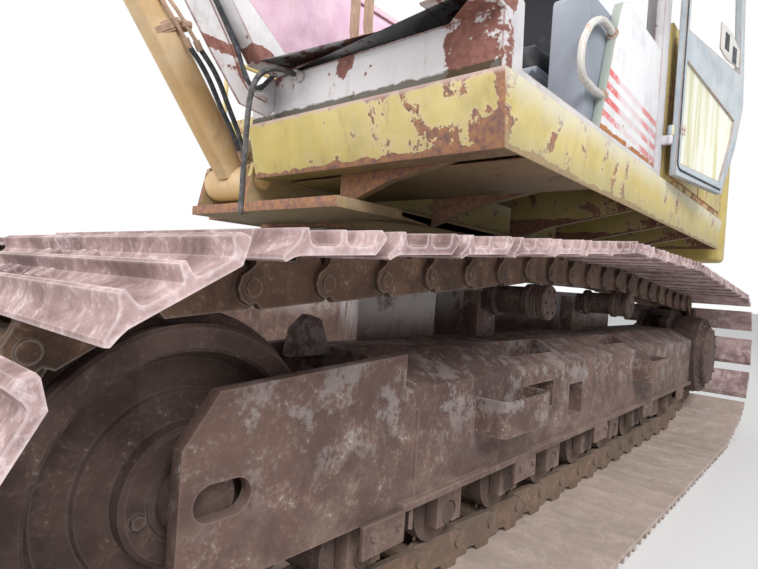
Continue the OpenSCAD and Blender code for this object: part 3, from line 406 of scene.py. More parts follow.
# %% Piece
def shaded(bm, sharp):
    for face in bm.faces:
        face.smooth = True
    for edge in bm.edges:
        edge.smooth = len(edge.link_faces) == 2 and edge.calc_face_angle(3.0) < math.radians(sharp)


def as_mesh(bm, name):
    """Ends a mesh under construction."""
    mesh = bpy.data.meshes.new(name)
    bm.to_mesh(mesh)
    bm.free()
    return mesh


def absorb(bm, mesh):
    """Adds a finished mesh to one under construction, and removes it."""
    bm.from_mesh(mesh)
    bpy.data.meshes.remove(mesh)
    return bm


def piece(name, bm, body, slot, finish, *nodes, sharp=32):
    bmesh.ops.remove_doubles(bm, verts=bm.verts, dist=1e-5)
    bmesh.ops.recalc_face_normals(bm, faces=bm.faces)
    bmesh.ops.translate(bm, verts=bm.verts, vec=(AXIS_X, 0, 0))
    shaded(bm, sharp)
    mesh = as_mesh(bm, name)
    mesh.materials.append(finish)
    thing = placed(name, mesh)
    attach(thing, body)
    if nodes:
        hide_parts(*nodes)
    print(name, len(mesh.polygons), "faces on", body)
    return thing


print("pieces can be made")

# %% [markdown]
# ## Boxes, plates, turned parts and bolts
# Nearly all of the machine is cut from flat plate or turned on a lathe. So the shapes come
# from four helpers: a box, an outline given a thickness, a line spun round an axis, and a
# bolt's head. A narrow bevel on their edges catches the light as real edges do.

# %% Shapes
AHEAD, LEFT, UP = (1, 0, 0), (0, 1, 0), (0, 0, 1)


def bevelled(bm, verts, width):
    """Rounds the edges at these vertices, taken in a fixed order."""
    if width:
        edges = list(dict.fromkeys(e for v in verts for e in v.link_edges))
        bmesh.ops.bevel(bm, geom=edges, offset=width, segments=2, affect="EDGES", profile=0.5,
                        material=-1)


def add_box(bm, low, high, bevel=0.0):
    made = bmesh.ops.create_cube(bm, size=1.0)["verts"]
    low, high = Vector(low), Vector(high)
    bmesh.ops.scale(bm, vec=high - low, verts=made)
    bmesh.ops.translate(bm, vec=(low + high) / 2, verts=made)
    bevelled(bm, made, bevel)


def add_block(bm, x, y, half_x, half_y, z0, z1, bevel):
    """A box round a point, from one height to another."""
    add_box(bm, (x - half_x, y - half_y, z0), (x + half_x, y + half_y, z1), bevel)


def add_plate(bm, outline, y0, y1, bevel=0.0):
    """A plate with its outline in X and Z, between two distances in Y."""
    ring = [bm.verts.new((x, y0, z)) for x, z in outline]
    out = bmesh.ops.extrude_face_region(bm, geom=[bm.faces.new(ring)])["geom"]
    lifted = [g for g in out if isinstance(g, bmesh.types.BMVert)]
    bmesh.ops.translate(bm, vec=(0, y1 - y0, 0), verts=lifted)
    bevelled(bm, ring + lifted, bevel)
    return ring + lifted


def in_metres(section):
    """Points that were read off in millimetres."""
    return [(u / 1000, v / 1000) for u, v in section]


def mirrored(half):
    """A profile made whole: its points, then the same ones back on the other side."""
    return half + [(r, -d) for r, d in reversed(half)]


def lathe(bm, profile, centre, axis=LEFT, steps=48):
    """Turns a line of (radius, distance along the axis) round an axis through a centre."""
    centre, axis = Vector(centre), Vector(axis).normalized()
    side = axis.orthogonal().normalized()
    line = [bm.verts.new(centre + side * r + axis * d) for r, d in profile]
    edges = [bm.edges.new(pair) for pair in zip(line, line[1:])]
    bmesh.ops.spin(bm, geom=line + edges, cent=centre, axis=axis, dvec=(0, 0, 0), angle=math.tau,
                   steps=steps, use_merge=True, use_duplicate=False)


def add_disc(bm, at, axis, radius, height, steps):
    lathe(bm, [(0.0, 0.0), (radius, 0.0), (radius, height), (0.0, height)], at, axis, steps)


def add_bolt(bm, at, axis, radius, height):
    """A hexagon head that stands on a surface."""
    axis = Vector(axis)
    turn = axis.to_track_quat("Z", "Y").to_matrix().to_4x4()
    place = Matrix.Translation(Vector(at) + axis * height / 2) @ turn
    bmesh.ops.create_cone(bm, cap_ends=True, segments=6, radius1=radius, radius2=radius * 0.92,
                          depth=height, matrix=place)


def ring_of_bolts(bm, centre, ring, count, radius, height, along, start=0.0):
    """Bolts round an axle that lies along Y."""
    for i in range(count):
        a = start + math.tau * i / count
        at = Vector(centre) + Vector((ring * math.cos(a), along, ring * math.sin(a)))
        add_bolt(bm, at, LEFT, radius, height)


print("boxes, plates, turned parts and bolts ready")

# %% [markdown]
# ## Bars and hoses
# A round bar or a hose is a curve through the points of its route, with a round section. A
# piece that has to join others is made a mesh at once, which leaves no curve behind.

# %% Bars and hoses
def route_curve(name, points, radius, bevel_resolution, resolution):
    curve = bpy.data.curves.new(name, "CURVE")
    curve.dimensions, curve.fill_mode, curve.use_fill_caps = "3D", "FULL", True
    curve.bevel_depth, curve.bevel_resolution, curve.resolution_u = radius, bevel_resolution, resolution
    knots = curve.splines.new("BEZIER").bezier_points
    knots.add(len(points) - 1)
    for knot, point in zip(knots, points):
        knot.co, knot.handle_left_type, knot.handle_right_type = point, "AUTO", "AUTO"
    return curve


def evaluated(holder):
    """The mesh that an object shows, once its curve or its modifiers are worked out."""
    bpy.context.view_layer.update()
    graph = bpy.context.evaluated_depsgraph_get()
    return bpy.data.meshes.new_from_object(holder.evaluated_get(graph))


def add_pipe(bm, points, radius, sides=10, smooth=6):
    curve = route_curve("route", points, radius, max(0, sides // 4 - 1), smooth)
    holder = placed("route", curve)
    absorb(bm, evaluated(holder))
    bpy.data.objects.remove(holder)
    bpy.data.curves.remove(curve)


def rounded(points, radius, steps=4):
    """A broken line with each corner cut to a short arc."""
    out = [Vector(points[0])]
    for a, b, c in zip(points, points[1:], points[2:]):
        a, b, c = Vector(a), Vector(b), Vector(c)
        r = min(radius, (a - b).length * 0.49, (c - b).length * 0.49)
        p, q = b + (a - b).normalized() * r, b + (c - b).normalized() * r
        for i in range(steps + 1):
            t = i / steps
            out.append(p * (1 - t) ** 2 + b * 2 * t * (1 - t) + q * t * t)
    out.append(Vector(points[-1]))
    return out


print("bars and hoses ready")

# %% [markdown]
# ## Copies of the solids
# Where a solid already has the right form, a copy of it is dressed: its coplanar triangles are
# joined, which leaves clean faces, and its hard edges are rounded a little, as rolled and
# welded plate has them. The copy then stands in for the solid.

# %% Copies
def copied(node):
    """A solid's mesh in the machine's own measure."""
    bm = bmesh.new()
    bm.from_mesh(frame["nodes"][node].data)
    bmesh.ops.remove_doubles(bm, verts=bm.verts, dist=2e-5)
    bmesh.ops.dissolve_limit(bm, angle_limit=math.radians(0.6), verts=bm.verts, edges=bm.edges)
    bmesh.ops.translate(bm, verts=bm.verts, vec=(-AXIS_X, 0, 0))
    return bm


def softened(bm, width, segments=2, angle=40):
    edges = [e for e in bm.edges if len(e.link_faces) == 2 and e.calc_face_angle(0) > math.radians(angle)]
    bmesh.ops.bevel(bm, geom=edges, offset=width, segments=segments, affect="EDGES", profile=0.5,
                    clamp_overlap=True, material=-1)
    return bm


def dressed(name, node, width, body, slot, finish):
    """A softened copy of a solid, in its place."""
    piece(name, softened(copied(node), width), body, slot, finish, node)


def node_box(node):
    """A solid's lowest and highest corner in the machine's own measure."""
    spots = [v.co - Vector((AXIS_X, 0, 0)) for v in frame["nodes"][node].data.vertices]
    return [min(p[i] for p in spots) for i in range(3)], [max(p[i] for p in spots) for i in range(3)]


def carved(bm, boxes):
    """Cuts boxes out of a solid, with a Boolean modifier on two helper objects."""
    cutter = bmesh.new()
    for low, high in boxes:
        add_box(cutter, low, high)
    solid, tool = placed("solid", as_mesh(bm, "solid")), placed("cutter", as_mesh(cutter, "cutter"))
    cut = solid.modifiers.new("cut", "BOOLEAN")
    cut.operation, cut.solver, cut.object, cut.use_self = "DIFFERENCE", "EXACT", tool, True
    out = absorb(bmesh.new(), evaluated(solid))
    for helper in (solid, tool):
        bpy.data.meshes.remove(helper.data)
    for face in out.faces:
        face.material_index = 0
    return out


def times(bm, transforms):
    """One mesh with a copy of bm at each transform."""
    mesh = as_mesh(bm, "pattern")
    whole = bmesh.new()
    for matrix in transforms:
        before = len(whole.verts)
        whole.from_mesh(mesh)
        whole.verts.ensure_lookup_table()
        bmesh.ops.transform(whole, matrix=matrix, verts=whole.verts[before:])
    bpy.data.meshes.remove(mesh)
    return whole


def flip(bm, side):
    """The same mesh on the left (1) or the right (-1) of the machine."""
    if side < 0:
        bmesh.ops.scale(bm, vec=(1, -1, 1), verts=bm.verts)
        bmesh.ops.reverse_faces(bm, faces=bm.faces)
    return bm


def on_both_sides(name, make, slot, finish, node, sharp=32):
    """A part of the undercarriage, made on the left and mirrored to the right."""
    for side, sign in (("left", 1), ("right", -1)):
        piece(name + side, flip(make(), sign), "undercarriage", slot, finish, node + side, sharp=sharp)


print("counterweight", [[round(v, 3) for v in corner] for corner in node_box("counterweight")])

# %% [markdown]
# ## The loose hose
# A rubber hose hangs from a port in the cab's front sill, cut off at its end. It is one real
# length of hose, so it is an open curve through the points of its route, with a bevel for its
# thickness.

# %% Loose hose
HOSE_FROM = Vector((1.0583, 0.560, 1.7123))
hose_steps = [(0, 0, 0), (32, 0, 0), (67, -9, 0), (102, -24, -9), (132, -36, -32), (154, -46, -72),
              (164, -52, -122), (168, -55, -182), (169, -56, -222), (169, -57, -262), (169, -57.5, -302),
              (169, -58, -342), (169, -59, -382)] + [(169, -60, z) for z in range(-422, -583, -40)]
hose_route = [HOSE_FROM + Vector(p) / 1000 + Vector((AXIS_X, 0, 0)) for p in hose_steps]
f = Finish("hose_rubber")
scuff = f.noise(40, 8, 0.7)
ribs = f.add("ShaderNodeTexWave", {"wave_type": "BANDS", "bands_direction": "Z"}, out="Fac",
             Vector=f.at, Scale=90.0, Distortion=1.5, Detail=2.0)
f.done(f.mix(f.step(scuff, 0.4, 0.7), (0.035, 0.035, 0.038), (0.16, 0.15, 0.145)),
       scuff * 0.4 + 0.45, ribs * 0.3 + scuff * 0.5, 0.0008)
hose_curve = route_curve("loose_hose_run", hose_route, 0.011, 4, 5)
hose_curve.materials.append(f.material)
loose_hose = placed("loose_hose_run", hose_curve)
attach(loose_hose, "upper")
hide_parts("loose_hose")

# %% [markdown]
# ## Where a link of the track stands
# The track is a loop of 50 equal links. Its pin line goes round the sprocket and the idler and
# bends over the carrier rollers and where it lifts off the ground, so it is a row of stops: a
# centre and a radius each. Shoes and links are made once and set round that line.

# %% Track path
GAUGE, SHOES = 2.590, 50
TRACK_Y = GAUGE / 2
DRIVE, IDLER = (-2.015, 0.540, 0.345), (1.900, 0.505, 0.365)
CARRIER_X, PIN_TOP, PIN_LOW = (-0.470, 0.500), 0.990, 0.110
STOPS = [DRIVE, (CARRIER_X[0], PIN_TOP, 0.0), (CARRIER_X[1], PIN_TOP, 0.0), IDLER,
         (IDLER[0] - 0.300, PIN_LOW, 0.0), (DRIVE[0] + 0.405, PIN_LOW, 0.0)]


def straight_run(a, b):
    """Heading and length of the line that touches the circles round two stops."""
    way = math.hypot(b[0] - a[0], b[1] - a[1])
    heading = math.atan2(b[1] - a[1], b[0] - a[0]) - math.asin((a[2] - b[2]) / way)
    return heading, math.sqrt(way ** 2 - (a[2] - b[2]) ** 2)


LEGS = []
for here, ahead, beyond in zip(STOPS, STOPS[1:] + STOPS[:1], STOPS[2:] + STOPS[:2]):
    heading, length = straight_run(here, ahead)
    bend = (heading - straight_run(ahead, beyond)[0]) % math.tau
    LEGS.append((here, ahead, heading, length, ahead[2] * bend))
LOOP = sum(leg[3] + leg[4] for leg in LEGS)
PITCH = LOOP / SHOES


def on_loop(s):
    """Place and heading of the pin line at a way s from the top of the sprocket."""
    s %= LOOP
    for here, ahead, heading, length, arc in LEGS:
        if s < length + arc:
            break
        s -= length + arc
    x, z, r = here
    if s > length:
        x, z, r = ahead
        heading, s = heading - (s - length) / r, 0.0
    return (x + s * math.cos(heading) - r * math.sin(heading),
            z + s * math.sin(heading) + r * math.cos(heading), heading)


def round_the_loop():
    """A transform to each link's place."""
    out = []
    for i in range(SHOES):
        x, z, a = on_loop((i + 0.5) * PITCH)
        out.append(Matrix.Translation((x, TRACK_Y, z)) @ Matrix.Rotation(-a, 4, "Y"))
    return out


print("pitch", round(PITCH, 5))

# %% [markdown]
# ## Track shoes
# A shoe is a rolled bar with three grousers, cut to length and bolted on with four bolts. Its
# front lip bends down under the raised rear lip of the shoe ahead, so that stones can't get
# between. The section is drawn once, with fillets beside the grousers, and extruded.

# %% Shoes
SHOE_SECTION = in_metres([(-66, 71.5), (-89, 93), (-91, 98), (-80, 108.5), (-68, 108.5), (-64, 93),
                          (-60, 86.5), (-52, 84), (-15, 84), (-8, 86.5), (-6, 92), (-4.5, 107),
                          (4.5, 107), (6, 92), (8, 86.5), (15, 84), (52, 84), (59, 86.5), (62, 93),
                          (65, 108), (74, 108), (78, 95), (85, 86), (96, 79), (105, 73), (108, 67),
                          (103, 64), (90, 69), (80, 71.5)])
SHOE_HALF = 0.4495


def shoe():
    bm = bmesh.new()
    add_plate(bm, SHOE_SECTION, -SHOE_HALF, SHOE_HALF)
    for y in (-0.103, -0.058, 0.058, 0.103):
        for u in (-0.033, 0.033):
            add_bolt(bm, (u, y, 0.083), UP, 0.0155, 0.014)
    return bm


on_both_sides("shoes_", lambda: times(shoe(), round_the_loop()), "shoe_steel", shoe_rust, "track_", 25)

# %% [markdown]
# ## Chain links
# Each link is a cranked plate: one end lies outside the next link's, so pins tie them into a
# chain. The plate is an outline extruded and then sheared, with a bushing at each joint.

# %% Links
LINK_SECTION = in_metres([(-128, -6), (-122, -30), (-100, -44), (84, -44.5), (96, -30), (112, -34),
                          (130, -22), (137, 0), (128, 24), (108, 36), (96, 46), (90, 71), (26, 71),
                          (16, 52), (-16, 52), (-26, 71), (-90, 71), (-96, 44), (-116, 30), (-128, 14)])


def add_pin(bm, y, radius, length):
    """A round pin across the chain, at the joint with the next link."""
    place = Matrix.Translation((PITCH / 2, y, 0)) @ Matrix.Rotation(math.pi / 2, 4, "X")
    bmesh.ops.create_cone(bm, cap_ends=True, segments=12, radius1=radius, radius2=radius,
                          depth=length, matrix=place)


def links():
    bm = bmesh.new()
    for sy in (1, -1):
        for v in add_plate(bm, LINK_SECTION, 0.0, 0.020):
            crank = max(-1.0, min(1.0, v.co.x / 0.05)) * 0.5 + 0.5
            v.co.y = sy * (0.0565 + v.co.y + 0.0205 * crank)
        add_pin(bm, sy * 0.0975, 0.019, 0.006)
    add_pin(bm, 0, 0.030, 0.118)
    return bm


on_both_sides("links_", lambda: times(links(), round_the_loop()), "chain_rust", chain_rust, "chain_", 28)

# %% [markdown]
# ## Wheels of the track
# The idler, the rollers and the final drive are turned parts, so each is one line spun round
# its axle, with bolts set round its caps. The sprocket's teeth are one tooth copied round.

# %% Idler
IDLER_SECTION = in_metres([(0, 111.8), (52, 111.8), (55, 106), (78, 106), (82, 111.8), (118, 111.8),
                           (127, 104), (130, 78), (146, 66), (178, 60), (184, 52), (240, 50), (250, 62),
                           (256, 90), (263, 94.8), (300, 94.8), (307, 88), (307.4, 52), (314, 47),
                           (328, 40), (332.2, 30), (332.2, 0)])


def idler():
    bm = bmesh.new()
    hub = (IDLER[0], TRACK_Y, IDLER[1])
    lathe(bm, mirrored(IDLER_SECTION), hub, steps=72)
    for out in (1, -1):
        cap = [(0.0, 0.1555), (0.060, 0.1555), (0.065, 0.150), (0.065, 0.11)]
        lathe(bm, [(r, out * d) for r, d in cap], hub, steps=32)
    add_bolt(bm, (IDLER[0] + 0.098, TRACK_Y + 0.1115, IDLER[1] - 0.02), LEFT, 0.014, 0.010)
    return bm


on_both_sides("idler_wheel_", idler, "wheel_rust", wheel_rust, "idler_")

# %% Final drive and sprocket
DRIVE_SECTION = in_metres([(0, -151.5), (255, -151.5), (268, -140), (268, -34), (300, -30), (314, -24),
                           (314, 24), (300, 30), (272, 34), (268, 50), (268, 170), (262, 182),
                           (262, 205), (252, 214.8), (204, 214.8), (200, 222), (200, 246), (190, 258),
                           (120, 262), (112, 264.8), (0, 264.8)])
TOOTH_HALF = in_metres([(306, -45), (317, -34), (330, -24), (345, -18.5), (354, -13), (356.5, -6)])
TEETH = 21


def drive():
    bm = bmesh.new()
    at = Vector((DRIVE[0], TRACK_Y, DRIVE[1]))
    lathe(bm, DRIVE_SECTION, at, steps=64)
    ring_of_bolts(bm, at, 0.236, 24, 0.0105, 0.014, 0.2148)
    ring_of_bolts(bm, at, 0.176, 12, 0.009, 0.010, 0.2585, start=0.2)
    for u, v in ((0.06, 0.05), (-0.07, 0.0), (0.02, -0.075)):
        add_bolt(bm, at + Vector((u, 0.2645, v)), LEFT, 0.017, 0.0005)
    tooth = bmesh.new()
    add_plate(tooth, mirrored(TOOTH_HALF), -0.030, 0.030, bevel=0.002)
    turns = [Matrix.Rotation((i + 0.5) * math.tau / TEETH, 4, "Y") for i in range(TEETH)]
    absorb(bm, as_mesh(times(tooth, [Matrix.Translation(at) @ turn for turn in turns]), "teeth"))
    return bm


on_both_sides("drive_", drive, "wheel_rust", wheel_rust, "final_drive_")

# %% Rollers
ROLLER_X = [-1.45 + 0.3625 * i for i in range(9)]
ROLLER_Z, CARRIER_Z = PIN_LOW + 0.1453, PIN_TOP - 0.1163
ROLLER_SECTION = in_metres([(0, 139.5), (30, 139.5), (35, 134), (35, 100), (62, 99), (70, 94), (99, 90),
                            (99.8, 60), (99.8, 54), (94, 50), (94, 0)])
CARRIER_SECTION = in_metres([(0, -115), (44, -115), (44, -84), (65.8, -80), (65.8, -60), (54, -54),
                             (54, 54), (65.8, 60), (65.8, 80), (58, 88), (61, 94), (58, 100), (61, 106),
                             (58, 112), (61, 118), (58, 126), (65.8, 129), (65.8, 144), (60, 149.8),
                             (20, 149.8), (16, 145), (0, 145)])
FLANGE = 0.045


def rollers():
    bm = bmesh.new()
    for x in ROLLER_X:
        lathe(bm, mirrored(ROLLER_SECTION), (x, TRACK_Y, ROLLER_Z), steps=28)
    for x in CARRIER_X:
        at = (x, TRACK_Y, CARRIER_Z)
        lathe(bm, CARRIER_SECTION, at, steps=32)
        ring_of_bolts(bm, at, 0.045, 6, 0.007, 0.0001, 0.1497)
        corners = ((-1, -1), (1, -1), (1, 1), (-1, 1))
        add_plate(bm, [(x + i * FLANGE, CARRIER_Z + j * FLANGE) for i, j in corners],
                  TRACK_Y - 0.1155, TRACK_Y - 0.090, bevel=0.004)
    return bm


on_both_sides("rollers_and_carriers_", rollers, "wheel_rust", wheel_rust, "rollers_")

# %% [markdown]
# ## Track frames
# A track frame is a welded box with a sloping top and two yoke plates that hold the idler. Its
# solid is copied and its edges are rounded. The plain foot steps on it make way for bent strips
# with a toothed edge, and the lifting lug, the bolted plates and a weld seam are added.

# %% Track frame
WALL_Y, STEP_Y, STEP_TEETH = TRACK_Y + 0.186, 1.580, 9


def foot_step(bm, x0, x1, z0, z1):
    """A bent strip welded to the side wall, with a toothed upper edge for grip."""
    ends = [(x1, WALL_Y - 0.004, 0), (x1, STEP_Y, 0), (x0, STEP_Y, 0), (x0, WALL_Y - 0.004, 0)]
    line = rounded(ends, 0.028)
    notches = [line[5].lerp(line[6], i / (2 * STEP_TEETH)) for i in range(1, 2 * STEP_TEETH)]
    path = line[:6] + notches + line[6:]
    low = [bm.verts.new((p.x, p.y, z0)) for p in path]
    high = []
    for i, p in enumerate(path):
        notch = 0.013 if 6 <= i < 5 + 2 * STEP_TEETH and i % 2 else 0.0
        high.append(bm.verts.new((p.x, p.y, z1 - notch)))
    faces = [bm.faces.new((a, b, c, d)) for a, b, c, d in zip(low, low[1:], high[1:], high)]
    bmesh.ops.recalc_face_normals(bm, faces=faces)
    bmesh.ops.solidify(bm, geom=faces, thickness=0.009)


def track_frame():
    bm = softened(copied("track_frame_left"), 0.006)
    bmesh.ops.delete(bm, geom=[v for v in bm.verts if v.co.y > WALL_Y + 0.03], context="VERTS")
    foot_step(bm, 0.75, 1.055, 0.494, 0.597)
    foot_step(bm, -0.74, -0.45, 0.503, 0.610)
    # Lifting lug
    add_plate(bm, [(1.385, 0.70), (1.535, 0.70), (1.52, 0.775), (1.475, 0.812), (1.43, 0.80)],
              1.18, 1.215, bevel=0.006)
    # Plates under every second roller's bolts
    for x in ROLLER_X[::2]:
        add_box(bm, (x - 0.075, WALL_Y + 0.002, 0.285), (x + 0.075, WALL_Y + 0.016, 0.362), 0.004)
        for dx in (-0.045, 0.045):
            add_bolt(bm, (x + dx, WALL_Y + 0.015, 0.335), LEFT, 0.011, 0.009)
    # Weld seam where the yoke section joins the rolling section
    add_pipe(bm, [(1.335, WALL_Y + 0.001, z) for z in (0.30, 0.45, 0.60)], 0.007, sides=6, smooth=2)
    return bm


on_both_sides("frame_beam_", track_frame, "frame_rust", frame_rust, "track_frame_")

# %% [markdown]
# ## Centre frame and swing ring
# The centre frame carries the ring that everything above turns on. Its own solid is right, so
# a softened copy takes its place, and bolt heads are set round the ring's race.

# %% Centre frame
RING_BOLTS, RING_RADIUS, RACE_TOP = 48, 0.605, 1.1560
dressed("centre_beam", "centre_frame", 0.008, "undercarriage", "frame_rust", leg_rust)
bm = copied("swing_ring_lower")
for i in range(RING_BOLTS):
    a = math.tau * i / RING_BOLTS
    add_bolt(bm, (RING_RADIUS * math.cos(a), RING_RADIUS * math.sin(a), RACE_TOP), UP, 0.013, 0.005)
piece("ring_race", bm, "undercarriage", "ring_steel", ring_steel, "swing_ring_lower")

# %% [markdown]
# ## Upper frame and decks
# The decks are thin plate over the outriggers. What the low camera sees most is the left
# deck's skirt and its underside, which is dark. The solids have both, so softened copies take
# their place, and the finish carries the wear and paints shade on the underside. Two bent
# bars on the counterweight are for lifting.

# %% Upper frame
dressed("upper_frame", "revolving_frame", 0.004, "upper", "yellow_paint", deck_yellow)
for side in ("left", "right"):
    dressed("deck_plate_" + side, "deck_" + side, 0.006, "upper", "yellow_paint", deck_yellow)
EYE_Y, EYE_HALF = 0.75, 0.07
bm = softened(copied("counterweight"), 0.035, segments=3)
low, high = node_box("counterweight")
for y in (-EYE_Y, EYE_Y):
    bend = ((-EYE_HALF, -0.02), (-EYE_HALF, 0.07), (EYE_HALF, 0.07), (EYE_HALF, -0.02))
    route = [(low[0] + 0.42, y + dy, high[2] + dz) for dy, dz in bend]
    add_pipe(bm, rounded(route, 0.03, 3), 0.014, sides=8, smooth=2)
piece("tail_weight", bm, "upper", "yellow_paint", yellow, "counterweight")

# %% [markdown]
# ## Engine house, hood and tanks
# The house is thin sheet with service doors in both sides. A door is a sheet laid on the wall
# with rounded edges, hinges at one side, a latch at the other and slats where air goes in.
# The hood has pressed ribs, and the tanks have two filler caps.

# %% House
HOUSE_WALL, TANK_WALL = 1.478, 1.468
SHEET_EDGE, TANK_EDGE = 0.0015, 0.012


def service_door(bm, x0, x1, z0, z1, y, out, slats=0):
    """A door on a wall that faces along Y, with hinges, a latch and air slats."""
    def sheet(x0, x1, z0, z1, near, far, bevel):
        low, high = sorted((y + out * near, y + out * far))
        add_box(bm, (x0, low, z0), (x1, high, z1), bevel)

    middle = (z0 + z1) / 2
    sheet(x0, x1, z0, z1, -0.001, 0.007, 0.003)
    for z in (z0 + 0.10, z1 - 0.10):
        add_disc(bm, (x0 - 0.004, y + out * 0.006, z - 0.035), UP, 0.008, 0.070, 12)
    sheet(x1 - 0.09, x1 - 0.03, middle - 0.05, middle + 0.05, 0.006, 0.013, 0.003)
    add_disc(bm, (x1 - 0.06, y + out * 0.012, middle), (0, out, 0), 0.013, 0.006, 16)
    for i in range(slats):
        z = z0 + 0.16 + i * (z1 - z0 - 0.36) / (slats - 1)
        sheet(x0 + 0.09, x1 - 0.14, z, z + 0.020, 0.005, 0.016, 0.005)


(house_x0, _, house_z0), (house_x1, _, house_z1) = node_box("machinery_house")
bm = softened(copied("machinery_house"), SHEET_EDGE)
span = (house_x1 - house_x0 - 0.12) / 2
for out in (1, -1):
    for k, slats in enumerate((11, 0)):
        x = house_x0 + 0.05 + k * (span + 0.02)
        service_door(bm, x, x + span, house_z0 + 0.05, house_z1 - 0.06, out * HOUSE_WALL, out, slats)
piece("house_walls", bm, "upper", "yellow_paint", yellow, "machinery_house")

# %% Hood and tanks
RIBS, CAPS_X = 9, (-0.60, -0.9)
bm = softened(copied("engine_hood"), SHEET_EDGE)
low, high = node_box("engine_hood")
for k in range(RIBS):
    x = low[0] + 0.12 + k * (high[0] - low[0] - 0.24) / (RIBS - 1)
    add_block(bm, x, 0, 0.012, 0.45, high[2] - 0.002, high[2] + 0.010, 0.004)
piece("hood_lid", bm, "engine_hood", "yellow_paint", yellow, "engine_hood")
bm = softened(copied("tank_house"), TANK_EDGE)
for x in CAPS_X:
    cap = [(0.0, 0.0), (0.055, 0.0), (0.055, 0.018), (0.045, 0.026), (0.0, 0.026)]
    lathe(bm, cap, (x, -0.75, house_z1 + 0.058), UP, 32)
service_door(bm, -0.46, 0.08, 1.60, 1.98, -TANK_WALL, -1)
piece("tanks", bm, "upper", "yellow_paint", yellow, "tank_house")
engine_paint = painted("engine_paint", (0.16, 0.17, 0.17), (0.24, 0.24, 0.23), chips=0.66, dust=0.8)
dressed("power_block", "engine_block", 0.02, "upper", "engine_paint", engine_paint)
dressed("exhaust_pipe", "exhaust", 0.002, "upper", "exhaust_rust", soot_rust)

# %% [markdown]
# ## The cab's shell
# The cab is folded sheet on a frame of square tube. The windscreen's lower frame is gone, so
# the opening is cut down to the front sill, straight through the solid's lip, by a modifier.
# A cut is surer here than moving the lip's corners, because the pillars on both sides stay.

# %% Cab shell
SILL_X, SILL_Z = 1.0285, 1.7355
POST_RIGHT, POST_LEFT, LINTEL = 0.493, 1.268, 2.35
opening = [((SILL_X + 0.0002, POST_RIGHT, SILL_Z - 0.0008), (1.6, POST_LEFT, LINTEL)),
           ((0.90, POST_RIGHT, 1.770), (SILL_X + 0.01, POST_LEFT, LINTEL))]
bm = softened(carved(copied("cab_shell"), opening), 0.006, angle=50)
piece("cab_body", bm, "upper", "white_paint", white, "cab_shell", sharp=40)
f = Finish("black_rubber")
skin = f.noise(30, 6)
rubber = f.done(f.mix(f.step(skin, 0.4, 0.7), (0.03, 0.032, 0.038), (0.11, 0.115, 0.13)),
                skin * 0.3 + 0.55, skin, 0.001)

# %% [markdown]
# ## Pillar plate and windscreen channel
# At the cab's right front corner a folded plate carries the pillar, and a rubber channel that
# held the glass still runs along its inner edge. The plate is an outline extruded to its
# thickness, and the channel is a bar along the same edge, so that the two can't part.

# %% Pillar plate
bm = bmesh.new()
inner = [(1.150, 1.660), (1.240, 1.800), (1.337, 1.934), (1.452, 2.090)]
outer = [(1.566, 2.020), (1.456, 1.882), (1.330, 1.725), (1.200, 1.580), (1.060, 1.562), (1.030, 1.600)]
PLATE_Y = 0.404
add_plate(bm, [(1.030, 1.736)] + inner + outer, 0.396, PLATE_Y, bevel=0.002)
add_pipe(bm, [(x + 0.012, PLATE_Y, z - 0.010) for x, z in [(1.06, 1.64)] + inner], 0.007, sides=8, smooth=3)
piece("pillar_plate", bm, "upper", "white_paint", white)
# Trim board on the inside of the right wall, with a rib along its top
TRIM_Y = 0.457
bm = bmesh.new()
board = [(0.10, 1.60), (0.97, 1.60), (0.99, 1.775), (1.10, 1.790), (1.300, 2.050), (1.330, 2.250),
         (0.10, 2.250)]
add_plate(bm, board, 0.4485, TRIM_Y, bevel=0.002)
add_box(bm, (0.12, TRIM_Y, 2.215), (1.29, TRIM_Y + 0.010, 2.240), 0.004)
for x in (0.2, 0.55, 0.9, 1.2):
    add_bolt(bm, (x, TRIM_Y, 2.19), LEFT, 0.009, 0.005)
piece("side_trim", bm, "upper", "white_paint", mauve)
bm = bmesh.new()
add_pipe(bm, [(x - 0.004, 0.409, z) for x, z in [(1.050, 1.745)] + inner], 0.010, sides=8, smooth=3)
add_pipe(bm, [(x + 0.010, 0.413, z + 0.002) for x, z in inner], 0.006, sides=8, smooth=3)
piece("windscreen_channel", bm, "upper", "hose_rubber", rubber)

# %% [markdown]
# ## Stripes on the rear side panel
# Four red stripes run back along the panel and fade where the sun has had them longest. They
# are bands in the machine's own height, so a few steps of that coordinate draw all four. The
# grab bar ahead of them is a bent tube with a flange at each end.

# %% Striped panel
STRIPE_HEIGHTS = (1.848, 1.786, 1.726, 1.661)


def stripes(f):
    level = f.z - f.x * 0.05
    worn = f.step(f.noise(7, 8, 0.7) * 0.6 + f.noise(40, 6, 0.7) * 0.4, 0.64, 0.48)
    strong = f.step(f.x + f.noise(9, 4) * 0.1, 0.00, 0.08) * 0.62
    strong = strong + f.step(f.x + f.noise(7, 4) * 0.2, -0.20, -0.32) * 0.5 + 0.22
    bands = 0.0
    for height in STRIPE_HEIGHTS:
        bands = f.band(level, height, 0.0165, 0.0135) + bands
    red = bands * worn * strong * f.towards("Y", 0.5, 0.9)
    return (red, (0.60, 0.04, 0.035)), (f.towards("X", 0.3, 0.6), (0.34, 0.38, 0.34))


striped = painted("striped_paint", (0.70, 0.71, 0.74), (0.76, 0.76, 0.77), chips=0.62, stains=0.25, dust=0.1,
                  rust=(0.30, 0.12, 0.05), rim=(0.6, 0.5, 0.42), wear=panel_wear, grime_and_shade=stripes)
dressed("striped_panel", "cab_striped_panel", 0.004, "upper", "white_paint", striped)
dressed("door_leaf", "cab_door", 0.004, "cab_door", "door_paint", greenish)

